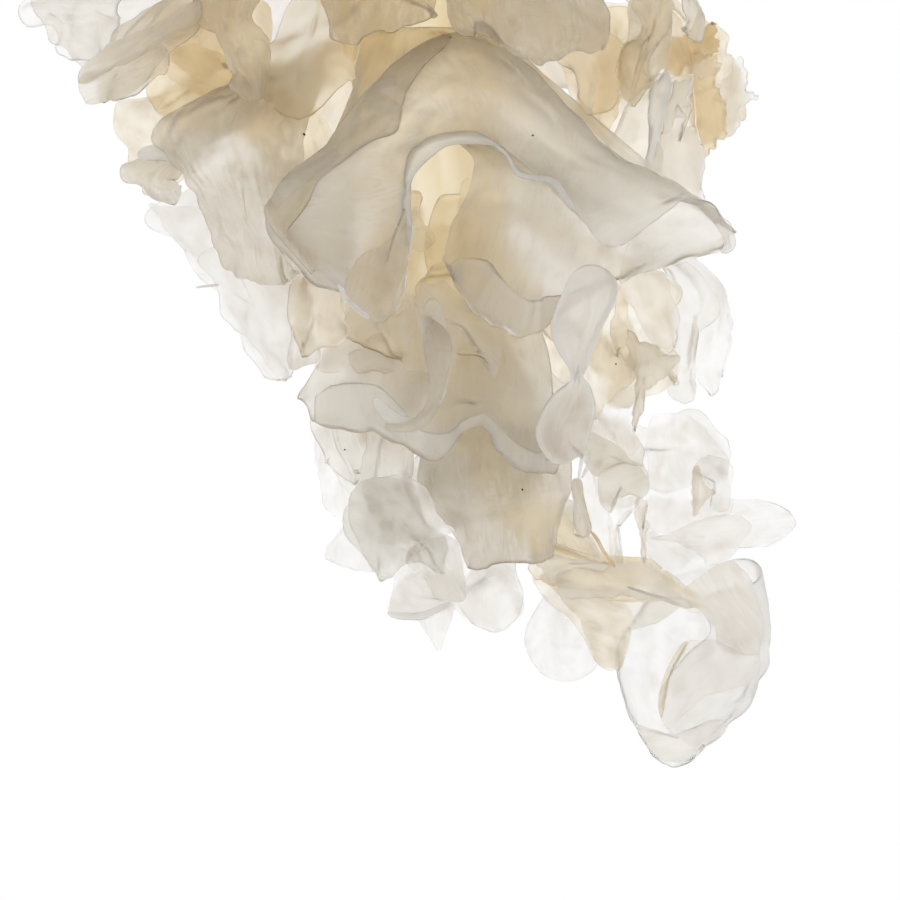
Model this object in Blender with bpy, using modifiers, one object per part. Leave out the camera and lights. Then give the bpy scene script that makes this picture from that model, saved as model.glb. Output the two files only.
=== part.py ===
"""Snow fungus: a soaked, opened-out cluster of ruffled gel fronds on a rough cut foot.

Every frond is a thin sheet: a hand-shaped cage, smoothed and given one thickness.
Lengths are in millimetres until MM turns them to metres. The cluster stands on its cut
foot, +Z up. Places are given as it is looked at from the front with the foot at the top:
side runs to the viewer's right (-X), up runs from the cut to the tip (+Z), and out runs
towards the viewer (-Y).
"""

import math
import random

import bmesh
import bpy
from mathutils import Vector, noise

MM = 0.001

# Driving dimensions
FROND_THICKNESS = 1.0
JOINT_GAP = 0.5  # a frond's root stays this far off what it grows from
ROOT_CLEARANCE = 1.5  # the wider stalk this far below a root counts for that gap too
VIEW_DISTANCE = 375.0  # the fronds were read from this far in front
VIEW_SIDE = 6.25
VIEW_UP = 81.25
FOOT_RADIUS = 19.0
SMOOTHING = 1  # Subdivision Surface levels on every soft form
TIGHTENING = 3  # rounds that bring each smoothed form out to the places given
OWN_WEIGHT = 4  # a place's own weight in its smoothing, beside 1 for each neighbour

# The stalk inside the cluster: side, up, out and radius, from the cut to its last branch
STALK = (
    (0.0, 0.0, 0.0, FOOT_RADIUS),
    (0.0, 4.0, 0.0, 19.5),
    (0.0, 9.0, 0.0, 18.0),
    (1.0, 16.0, -1.0, 14.0),
    (2.0, 24.0, -1.5, 11.5),
    (4.0, 38.0, -2.5, 9.0),
    (7.0, 60.0, -3.0, 6.8),
    (10.0, 75.0, -2.0, 5.6),
    (15.0, 88.0, 0.0, 4.2),
    (22.0, 95.0, 2.0, 2.8),
    (29.0, 98.0, 5.0, 1.6),
)
STALK_SIDES = 12
KNOB_HEIGHT = 1.6  # how far the rough foot's lumps stand out
KNOB_SIZE = 6.0
KNOB_TOP = 12.0  # the lumps fade out by this height
CUT_BAND = 1.0  # what lies lower than this is brought down onto the cut
WELD = 0.01  # places nearer than this become one

# The ruffled fans of the back: rows from root to rim, columns across, waves along the rim
FAN_ROWS = (0.0, 0.55, 1.0)
FAN_COLUMNS = 6
FAN_WAVES = 2.3
FAN_WAVE_HEIGHT = 4.0
FAN_NOTCH = 0.07  # how far the rim's hollows draw in, as a share of its reach
FAN_ROOT_SHARE = 0.5  # the root's part of the rim's spread
FAN_SIDE_DRAW = 0.14  # how far the fan's two ends draw in, as a share of its reach
FAN_OPENING = 0.7  # below 1 the fan opens early on its way out
FAN_CUPPING = 1.3  # above 1 the fan rises late on its way out
FAN_WAVE_GROWTH = 1.5  # above 1 the waves grow late on their way out

# Colours are linear red, green and blue
PALE_GEL = (0.83, 0.78, 0.70, 1.0)
GREY_GEL = (0.62, 0.55, 0.47, 1.0)
YELLOW_GEL = (0.72, 0.55, 0.30, 1.0)
FOOT_ORANGE = (0.60, 0.30, 0.07, 1.0)
GEL_ROUGHNESS = 0.35
FOOT_ROUGHNESS = 0.6


def world(side, up, out):
    """A real place in the cluster, in world metres."""
    return Vector((-side, -out, up)) * MM


def seen(*places):
    """Places read from the front: nearer ones are drawn in, so that they line up."""
    row = []
    for side, up, out in places:
        shrink = 1.0 - out / VIEW_DISTANCE
        real_side = VIEW_SIDE + (side - VIEW_SIDE) * shrink
        real_up = VIEW_UP + (up - VIEW_UP) * shrink
        row.append(world(real_side, real_up, out))
    return row


def stalk_at(up):
    """The stalk's middle (side, out) and its radius at a height."""
    for low, high in zip(STALK, STALK[1:]):
        if up <= high[1]:
            break
    share = (up - low[1]) / (high[1] - low[1])
    side, out, radius = (low[i] + (high[i] - low[i]) * share for i in (0, 2, 3))
    return side, out, radius


def on_stalk(up, azimuth):
    """A place beside the stalk's surface. Azimuth 0 faces the viewer, 90 is side +."""
    side, out, _ = stalk_at(up)
    widest = stalk_at(max(0.0, up - ROOT_CLEARANCE))[2]
    reach = widest + FROND_THICKNESS / 2 + JOINT_GAP
    angle = math.radians(azimuth)
    return world(side + reach * math.sin(angle), up, out + reach * math.cos(angle))


def root(up, first_azimuth, last_azimuth, count):
    """A frond's attached edge: a level row of places round the stalk."""
    step = (last_azimuth - first_azimuth) / (count - 1)
    return [on_stalk(up, first_azimuth + step * i) for i in range(count)]


def root_line(azimuth, first_up, last_up, count):
    """A frond's attached edge that runs along the stalk."""
    step = (last_up - first_up) / (count - 1)
    return [on_stalk(first_up + step * i, azimuth) for i in range(count)]


def eased(line):
    """A line of places as a Subdivision Surface would draw them in; its ends stay."""
    inner = [
        (before + OWN_WEIGHT * place + after) / (OWN_WEIGHT + 2)
        for before, place, after in zip(line, line[1:], line[2:])
    ]
    return [line[0], *inner, line[-1]]


def filtered(rows):
    """Where a Subdivision Surface would draw each place of a grid to."""
    along = [eased(row) for row in rows]
    return list(zip(*[eased(column) for column in zip(*along)]))


def tightened(rows):
    """A cage whose smoothed surface passes near the places given."""
    cage = rows
    for _ in range(TIGHTENING):
        drawn = filtered(cage)
        cage = [
            [held + place - moved for held, place, moved in zip(*lines)]
            for lines in zip(cage, rows, drawn)
        ]
    return cage


def material(name, colour, roughness):
    """A plain Principled material."""
    made = bpy.data.materials.new(name)
    made.use_nodes = True
    shader = made.node_tree.nodes["Principled BSDF"]
    shader.inputs["Base Color"].default_value = colour
    shader.inputs["Roughness"].default_value = roughness
    shader.inputs["Metallic"].default_value = 0.0
    return made


def finish(name, mesh, collection, look, levels=SMOOTHING):
    """An object for the mesh, smooth shaded, in the cluster's collection."""
    mesh.materials.append(look)
    mesh.shade_smooth()
    part = bpy.data.objects.new(name, mesh)
    collection.objects.link(part)
    if levels:
        smooth = part.modifiers.new("Smooth form", "SUBSURF")
        smooth.levels = levels
        smooth.render_levels = levels
    return part


def frond(name, rows, collection, look, levels=SMOOTHING):
    """A sheet through rows of places, root first, smoothed and given its thickness."""
    if levels:
        rows = tightened(rows)
    columns = len(rows[0])
    form = bmesh.new()
    bmesh.ops.create_grid(
        form, x_segments=columns - 1, y_segments=len(rows) - 1, size=1.0
    )
    form.verts.ensure_lookup_table()
    for vertex, place in zip(form.verts, (place for row in rows for place in row)):
        vertex.co = place
    mesh = bpy.data.meshes.new(name)
    form.to_mesh(mesh)
    form.free()
    part = finish(name, mesh, collection, look, levels)
    wall = part.modifiers.new("Thickness", "SOLIDIFY")
    wall.thickness = FROND_THICKNESS * MM
    wall.offset = 0.0
    return part


def stalk_and_foot(collection, look):
    """The dense yellow middle that the fronds grow from, with its rough, level cut foot."""
    line = bpy.data.curves.new("foot", "CURVE")
    line.dimensions = "3D"
    line.bevel_depth = MM
    line.bevel_resolution = STALK_SIDES // 2 - 2
    line.use_fill_caps = True
    spline = line.splines.new("POLY")
    spline.points.add(len(STALK) - 1)
    for point, (side, up, out, radius) in zip(spline.points, STALK):
        point.co = (*world(side, up, out), 1.0)
        point.radius = radius
    guide = bpy.data.objects.new("foot_line", line)
    collection.objects.link(guide)
    bpy.context.view_layer.update()
    graph = bpy.context.evaluated_depsgraph_get()
    mesh = bpy.data.meshes.new_from_object(guide.evaluated_get(graph))
    bpy.data.objects.remove(guide)

    form = bmesh.new()
    form.from_mesh(mesh)
    bmesh.ops.remove_doubles(form, verts=form.verts, dist=WELD * MM)
    for vertex in form.verts:
        height = vertex.co.z / MM
        rough = max(0.0, 1.0 - height / KNOB_TOP)
        lump = noise.noise(vertex.co / (KNOB_SIZE * MM)) * KNOB_HEIGHT * rough
        vertex.co += vertex.normal * lump * MM
        if height < CUT_BAND:
            vertex.co.z = 0.0
    form.to_mesh(mesh)
    form.free()
    return finish("foot", mesh, collection, look, levels=0)


def ruffle(up, azimuth, spread, reach, rise, seed):
    """The cage of a wide ruffled fan round the stalk: up and azimuth are its root's."""
    chance = random.Random(seed)
    phase = chance.uniform(0.0, math.tau)
    middle_side, middle_out, radius = stalk_at(up)
    start = radius + FROND_THICKNESS / 2 + JOINT_GAP
    cage = []
    for along in FAN_ROWS:
        row = []
        for column in range(FAN_COLUMNS):
            across = 2.0 * column / (FAN_COLUMNS - 1) - 1.0
            widen = FAN_ROOT_SHARE + (1.0 - FAN_ROOT_SHARE) * along**FAN_OPENING
            angle = math.radians(azimuth + across * spread / 2 * widen)
            turn = math.pi * FAN_WAVES * (across + 1.0) + phase
            lobed = 1.0 - FAN_SIDE_DRAW * across**4 + FAN_NOTCH * math.cos(turn) * along
            distance = start + (reach * lobed - start) * along
            wave = FAN_WAVE_HEIGHT * math.sin(turn) * along**FAN_WAVE_GROWTH
            place = (
                middle_side + distance * math.sin(angle),
                up + rise * along**FAN_CUPPING + wave,
                middle_out + distance * math.cos(angle),
            )
            row.append(world(*place))
        cage.append(row)
    return cage


def middle_fronds(put, pale, grey, yellow):
    """The fronds of the cluster's front, from the big arch to the two-lobed wave."""
    put("arch_frond", grey, root(30, -48, 52, 10), seen(
        (-5.5, 57, 28), (-9.5, 56, 28), (-12.5, 50, 27), (-7, 44, 25), (0, 36.5, 22),
        (8.5, 31, 20), (17, 36.5, 18), (23.5, 42, 17), (29, 46.3, 18), (34.5, 48.3, 20.5),
    ), seen(
        (-6.5, 60.5, 33), (-11, 59, 34), (-16.8, 51.3, 34), (-10.3, 44.6, 33), (-1, 33, 31),
        (9.5, 29.6, 27), (21.5, 38.6, 25), (26.5, 44.4, 25), (33.5, 47.6, 26), (41.7, 54.3, 28),
    ), seen(
        (-4.5, 63.8, 36), (-9, 58, 38), (-12.5, 51, 38.5), (-6.5, 43.8, 37.5), (2.5, 35, 35),
        (11.5, 32.5, 32), (20, 39.5, 30), (26.5, 45.8, 30), (33.3, 48.4, 30), (39.4, 51.6, 30.6),
    ), seen(
        (-2.2, 65.4, 36.5), (-3.5, 58.5, 39.5), (-4.5, 50.5, 39.5), (-2, 43.5, 38.5),
        (5.5, 37, 37.5), (13.5, 38.5, 35.5), (20, 44, 33.5), (25, 48.5, 32.8),
        (29.6, 51, 32.8), (34.8, 50.6, 32.8),
    ), seen(
        (0.7, 63, 33), (1.3, 56.5, 33), (1.2, 49, 32.5), (2.6, 43.6, 32), (7.5, 41.6, 31.5),
        (13, 43.6, 31), (18.5, 47.6, 30), (21.5, 51.3, 30.5), (24.3, 54.6, 31), (27, 57.5, 31),
    ))
    put("inner_lip_frond", grey, root(42, -6, 54, 8), seen(
        (9, 44.5, 18), (11.5, 45, 20), (15, 46, 20.5), (19, 47.5, 19.5), (23, 49.5, 18),
        (28, 49.8, 17.8), (33.5, 49.4, 19), (38.6, 51.6, 21.5),
    ), seen(
        (7.8, 50.5, 20.5), (11, 51.5, 24), (15, 52.5, 25.5), (19.5, 54, 25), (23.5, 55.5, 24),
        (28, 55, 22), (34, 54, 22.5), (40.8, 54.5, 24.5),
    ), seen(
        (5.3, 57.7, 23), (8.3, 62.3, 27), (12, 65.2, 29), (16, 66.2, 28.5), (20, 64.3, 26.5),
        (25.5, 60, 24.2), (33, 57.1, 24.6), (41, 54.9, 25.3),
    ), seen(
        (7.3, 56.7, 26), (10.8, 57.6, 30), (14, 60.4, 31.5), (16.8, 62.6, 31), (20.3, 61.5, 28.5),
        (25.6, 60.2, 26.4), (33, 58.5, 26), (41.6, 56.3, 26.3),
    ))
    put("ribbon_frond", pale, seen(
        (21.3, 58.8, 31), (24, 58.2, 30.5), (26.3, 59.2, 29),
    ), seen(
        (19.8, 63, 31), (23.5, 62.5, 31.5), (27, 61.8, 28.5),
    ), seen(
        (19, 67, 28.5), (22.3, 67, 30.5), (24.8, 66, 28.5),
    ), seen(
        (21.4, 71.8, 30), (22.2, 72, 30.6), (22.9, 71.5, 30),
    ), seen(
        (18.8, 75.5, 30.5), (21.4, 75.5, 29), (23.8, 75, 31),
    ), seen(
        (17.4, 79.8, 30), (20.3, 79.8, 28.6), (23.5, 79.5, 31),
    ), seen(
        (18.8, 82.8, 30), (21, 83, 29.2), (22.9, 82.3, 30),
    ))
    put("pocket_frond", yellow, root(50, -8, 26, 4), seen(
        (2.5, 57, 16), (6, 57, 17.5), (9, 57, 17.5), (12.5, 58, 15.5),
    ), seen(
        (2.0, 61, 20), (6, 62, 22.5), (9.5, 64, 22.5), (13, 66, 20.5),
    ), seen(
        (5.0, 69, 23.5), (8, 70, 25.5), (10.5, 71.4, 25.5), (13, 71.8, 22.5),
    ))
    put("wavy_frond", grey, root(54, -42, 48, 7), seen(
        (-11.2, 72.6, 15), (-6, 71.2, 18), (0, 71.4, 19.5), (4.5, 72, 19.5), (9, 72.5, 18.5),
        (14, 70, 17), (19, 70, 15),
    ), seen(
        (-12, 75.5, 18), (-5.5, 75.5, 21), (0, 76, 23), (4.5, 77, 23.5), (9.5, 75, 21.5),
        (14.5, 77, 19.5), (19.3, 77, 17),
    ), seen(
        (-11, 78.2, 22), (-5, 79, 26), (0.2, 80.3, 27.5), (4.5, 82.5, 28), (9.8, 77.8, 24.5),
        (14.3, 82.3, 23.5), (19.5, 83, 20.5),
    ), seen(
        (-11.6, 73.6, 25), (-6.5, 72.4, 29), (-1.5, 74, 30.5), (4, 79.2, 30.5), (9.9, 76.3, 26.5),
        (14.3, 79.8, 26), (19.2, 80.5, 22.5),
    ))
    put("curling_strip", grey, seen(
        (2.7, 62, 27.5), (5.3, 62, 28),
    ), seen(
        (3.2, 69, 30), (6.2, 69, 30.5),
    ), seen(
        (3.6, 75, 33), (5.2, 75.3, 33.5),
    ), seen(
        (-0.2, 78.4, 33), (0.6, 77, 34.5),
    ), seen(
        (-4.2, 74.6, 32.5), (-3, 74.4, 33.5),
    ))
    put("left_panel_frond", yellow, root(46, -70, -44, 3), seen(
        (-8, 52, 7.5), (-6.5, 52, 9.5), (-4.5, 52, 11),
    ), seen(
        (-13.8, 60.5, 18.5), (-10, 60, 20.5), (-6, 60.3, 21.5),
    ), seen(
        (-14.2, 70.5, 20.5), (-10.5, 69.5, 22.5), (-5.7, 68, 23.5),
    ))
    put("inner_petal", yellow, root(49.5, -38, -12, 3), seen(
        (-3, 55, 10.5), (-1, 55, 12), (1, 55, 12.5),
    ), seen(
        (-6, 61, 16.5), (-2.5, 62, 18.5), (1.5, 62, 18),
    ), seen(
        (-6.6, 69.3, 20), (-3, 69.6, 22.5), (0.8, 71.3, 24),
    ))


def left_fronds(put, pale, grey, yellow):
    """The wrinkled frond at the left and the paler ones beside and behind it."""
    put("wrinkled_frond", grey, root(30, -98, -58, 5), seen(
        (-27.5, 38.5, 13), (-24, 37.5, 15.5), (-20, 37.2, 17.5), (-15.5, 37.3, 18), (-11, 39, 16.5),
    ), seen(
        (-30.8, 43.2, 15), (-26.5, 43, 19.5), (-21.5, 43.5, 22), (-17, 44, 22.3), (-12.5, 45, 19.5),
    ), seen(
        (-25, 48.7, 19), (-22.5, 49.5, 23), (-19.5, 50, 25), (-16, 50.5, 24.8), (-13, 51, 21.5),
    ), seen(
        (-22.6, 55, 19.5), (-20, 55.5, 23.5), (-17.5, 56, 25.7), (-15, 56, 25.7), (-12.5, 56, 22.5),
    ), seen(
        (-20.8, 58.7, 20.5), (-18.7, 60, 23.5), (-16.3, 60.6, 25.5), (-14.3, 60.5, 25.5),
        (-12, 59.5, 23),
    ))
    put("left_shoulder_frond", yellow, root(22, -62, -26, 4), seen(
        (-17.5, 31, 16), (-12.5, 31, 18.5), (-8, 30, 19.5), (-4.5, 29, 19.5),
    ), seen(
        (-17.2, 38, 20.5), (-13, 40, 21), (-9.5, 38.5, 21), (-6, 34.5, 20.5),
    ))
    put("left_pale_frond", pale, root(42, -112, -76, 4), seen(
        (-31.2, 50.6, 2.5), (-26.5, 50.5, 4), (-22, 51.5, 7), (-17, 52, 9.5),
    ), seen(
        (-26.3, 56.8, 3), (-22.5, 57.5, 7.5), (-18, 58.5, 10.5), (-13, 59.5, 12.5),
    ), seen(
        (-22.6, 61.5, 5), (-19.3, 63.5, 9.5), (-16.5, 64.5, 12.5), (-13.3, 65, 14.5),
    ), seen(
        (-19, 69.5, 7.5), (-17, 73, 10.5), (-15, 73.3, 13.5), (-13, 71.5, 15.5),
    ))
    put("left_back_frond", yellow, root(30, -128, -98, 3), seen(
        (-31, 36, -5), (-27, 36.5, -0.5), (-22, 37, 3),
    ), seen(
        (-35, 42.3, -5), (-30.5, 42.6, 0), (-25, 41, 2.5),
    ), seen(
        (-32.3, 48.6, -4), (-29.5, 49.3, -1), (-25.5, 46.5, 2.5),
    ))
    put("left_small_lobe", grey, root(34, -94, -75, 3), seen(
        (-32.8, 44.6, 8.5), (-29.5, 44.6, 11.5), (-26.5, 45, 14),
    ), seen(
        (-30.4, 49.2, 9.5), (-28.3, 50.6, 12), (-25.8, 48.5, 14),
    ))
    put("lower_left_petal", pale, root(66, -112, -76, 3), seen(
        (-4, 72, -2), (-3.5, 72, 1), (-3, 72, 3),
    ), seen(
        (-10.6, 77.5, 3), (-7.5, 78, 6), (-5, 79, 8),
    ), seen(
        (-9, 83, 6), (-6.3, 85.8, 8), (-3.8, 84.6, 9.5),
    ))


def top_fronds(put, pale, grey, yellow):
    """The outermost fronds, rooted nearest the foot, whose rims lie over the others."""
    put("left_tongue_frond", grey, root(12, -65, -38, 4), seen(
        (-25.5, 25.5, 17), (-22.5, 25, 20), (-20, 25, 21.5), (-17.5, 25, 22),
    ), seen(
        (-23, 31, 19), (-20.5, 31, 22), (-18.5, 31, 23.5), (-16.3, 30, 23.5),
    ), seen(
        (-20, 36, 20), (-18.7, 37.8, 21.5), (-17.7, 37.8, 22.5), (-16.3, 36, 23),
    ))
    put("beige_frond", pale, root(12, -100, -72, 4), seen(
        (-30, 26, 3), (-28.5, 24.5, 8), (-26.5, 23.5, 12), (-24, 22.5, 14),
    ), seen(
        (-35.3, 31, 5), (-33, 30.5, 10), (-30, 29.5, 14), (-26.5, 27.5, 17),
    ), seen(
        (-39.8, 35.5, 6), (-37, 37.8, 11), (-33, 36, 14.5), (-28, 31.5, 17.5),
    ))
    put("tan_left_frond", yellow, root(16, -96, -66, 3), seen(
        (-28, 27.5, 3.5), (-24.5, 27.5, 6.5), (-20, 27.5, 9),
    ), seen(
        (-29.5, 32.5, 5), (-25.3, 34.8, 7.5), (-19.5, 34.5, 9.5),
    ))
    put("far_left_frond", pale, root(8, -118, -92, 3), seen(
        (-45, 24, -8), (-40, 23, -2), (-33, 23, 4),
    ), seen(
        (-44.6, 27.5, -7), (-40, 28, -1), (-34, 27, 5),
    ), seen(
        (-43.3, 30.6, -6), (-40.3, 33.3, -1), (-35.5, 30, 5),
    ))
    put("top_left_lobe", grey, root(12, -30, 4, 4), seen(
        (-9.8, 24, 26.5), (-5.5, 24, 30), (0, 23, 32), (5, 23, 31.5),
    ), seen(
        (-8.6, 30, 30), (-5, 30.8, 33.5), (-0.5, 29.4, 35.5), (5, 27.6, 34.5),
    ))
    put("top_grey_lobe", grey, root(12, 9, 54, 5), seen(
        (6.3, 25.5, 31.5), (10.5, 26, 34.5), (15.5, 26, 35), (20.5, 26, 33), (25.7, 26, 28.5),
    ), seen(
        (8, 30, 33.5), (12.5, 31.2, 36.5), (16.5, 33, 37), (21, 33.6, 34.5), (25, 29.8, 31),
    ))
    put("right_tongue_frond", yellow, root(14, 60, 84, 3), seen(
        (28, 25, 15), (30.7, 25, 16), (33.6, 25.5, 13),
    ), seen(
        (27.5, 32, 17), (29.8, 32.3, 18), (32.6, 31, 16),
    ), seen(
        (27.8, 37.6, 17), (29.5, 38.4, 17.5), (31.8, 35, 17),
    ))
    put("right_top_lobe", grey, root(9, 70, 94, 3), seen(
        (34.5, 23, 8), (36, 23, 5), (37, 23, 1),
    ), seen(
        (33.8, 28.6, 9), (35.3, 30, 7), (36.4, 28.3, 4),
    ))


def right_fronds(put, pale, yellow):
    """The layered cream fronds down the right, the pointed petal and the rough edge."""
    put("right_shoulder_frond", yellow, root(21, 34, 72, 4), seen(
        (18, 30, 16), (21, 30, 15.5), (24.5, 30, 14), (27, 30, 11.5),
    ), seen(
        (22.3, 38, 20.5), (24.3, 39.4, 18), (26.2, 39.6, 15), (28, 37, 12.5),
    ))
    put("pointed_petal", pale, root(43, 74, 100, 3), seen(
        (20, 44.5, 6), (21.5, 46, 4), (23, 47.5, 1),
    ), seen(
        (25, 43.8, 10), (28.4, 45.8, 12), (31.6, 46, 10),
    ), seen(
        (27.8, 38.8, 12.5), (30.4, 39.2, 14.5), (33, 39.6, 12.5),
    ), seen(
        (31.9, 34.9, 14), (33, 34, 14.4), (34.1, 34.7, 14),
    ))
    put("right_ragged_frond", pale, root(32, 84, 112, 3), seen(
        (33, 49, 7), (35.5, 49.5, 4), (38, 48.8, 1),
    ), seen(
        (33, 44, 8.5), (35.5, 42.5, 6), (38.3, 44, 2),
    ), seen(
        (33.2, 40, 10.5), (35, 38.5, 8.5), (37, 39.5, 6),
    ), seen(
        (34, 35.4, 11.5), (35.3, 34.6, 10), (36.9, 34.9, 8.5),
    ))
    put("rough_edge_frond", yellow, root(10, 102, 128, 3), seen(
        (33, 27.5, -16), (35.5, 27, -19), (38, 27, -22),
    ), seen(
        (35, 36, -17), (38.5, 34, -20), (41, 31, -23),
    ), seen(
        (38, 44.5, -16), (41.5, 42.5, -19), (45.3, 37, -21),
    ))
    put("cream_frond", yellow, root(50.5, 40, 82, 4), seen(
        (25.5, 61, 12), (28.5, 60.5, 13), (31.5, 59.5, 12), (34, 59.8, 9),
    ), seen(
        (25.5, 65.5, 15), (28.5, 66, 16.5), (32, 66, 16), (35, 64.5, 12.5),
    ), seen(
        (26.3, 70, 16.5), (29, 71.3, 18), (31.7, 70.5, 17), (34.2, 69.2, 14.5),
    ))
    put("right_outer_frond", pale, root(46, 78, 104, 3), seen(
        (32, 58.3, 6), (34.5, 58.3, 3), (37, 58.5, -1),
    ), seen(
        (34, 66, 6), (36.4, 66.5, 4), (38.9, 67, 0),
    ), seen(
        (33.3, 74.5, 3), (35.4, 75.8, 1), (37, 73.5, -1.5),
    ))
    put("right_pale_frond", pale, root(42, 98, 126, 3), seen(
        (35, 58.5, -6), (37.3, 58, -9.5), (39, 59.5, -13),
    ), seen(
        (37, 66, -4), (39.8, 65, -7.5), (41.2, 68, -11),
    ), seen(
        (37.3, 74.5, -4), (39, 74.7, -6), (41, 72, -9),
    ))
    put("brown_fold_frond", yellow, root(58, 50, 90, 3), seen(
        (18.5, 65, 5.5), (20.5, 65, 3), (22, 65, 0.5),
    ), seen(
        (23.7, 71, 10), (28.5, 70, 11), (34, 69.7, 8.5),
    ), seen(
        (24.5, 76.5, 11), (29.5, 75.5, 13), (34.7, 72.8, 10),
    ))
    put("window_petal", pale, root(69, 50, 80, 3), seen(
        (19, 75.5, 6), (21.5, 75, 4.5), (23.5, 75, 2.5),
    ), seen(
        (23.2, 80.5, 11), (26.5, 79.5, 12), (30.5, 80.5, 9.5),
    ), seen(
        (23.6, 87.5, 13), (27.5, 88.5, 13), (31, 86.8, 11),
    ))
    put("right_arch_petal", pale, root_line(86, 75, 81, 3), seen(
        (24, 76.5, 0), (24.5, 79.5, 2.5), (25, 82.5, 1.5),
    ), seen(
        (31, 78, 4), (31.5, 81.5, 7), (31, 85.4, 5.5),
    ), seen(
        (35.5, 75.8, 5), (36.7, 81, 9), (36.7, 86, 6),
    ), seen(
        (39.6, 79, 5), (41.2, 82, 6), (41.2, 84.7, 5.5),
    ))
    put("right_arm_frond", pale, seen(
        (30.4, 87, 3), (30.2, 90, 4), (30.6, 93, 4), (32.5, 96.7, 2),
    ), seen(
        (33.5, 86.8, 4.5), (34, 90, 6.5), (34.5, 93.5, 6), (35.5, 96, 3.5),
    ), seen(
        (37.7, 86.9, 4), (38.5, 89.6, 6), (39.5, 92, 5.5), (40, 94.3, 3),
    ), seen(
        (45.5, 87.5, 7), (48.5, 88.6, 8), (49.8, 90.8, 7.5), (46.5, 93.6, 6),
    ))


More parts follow.
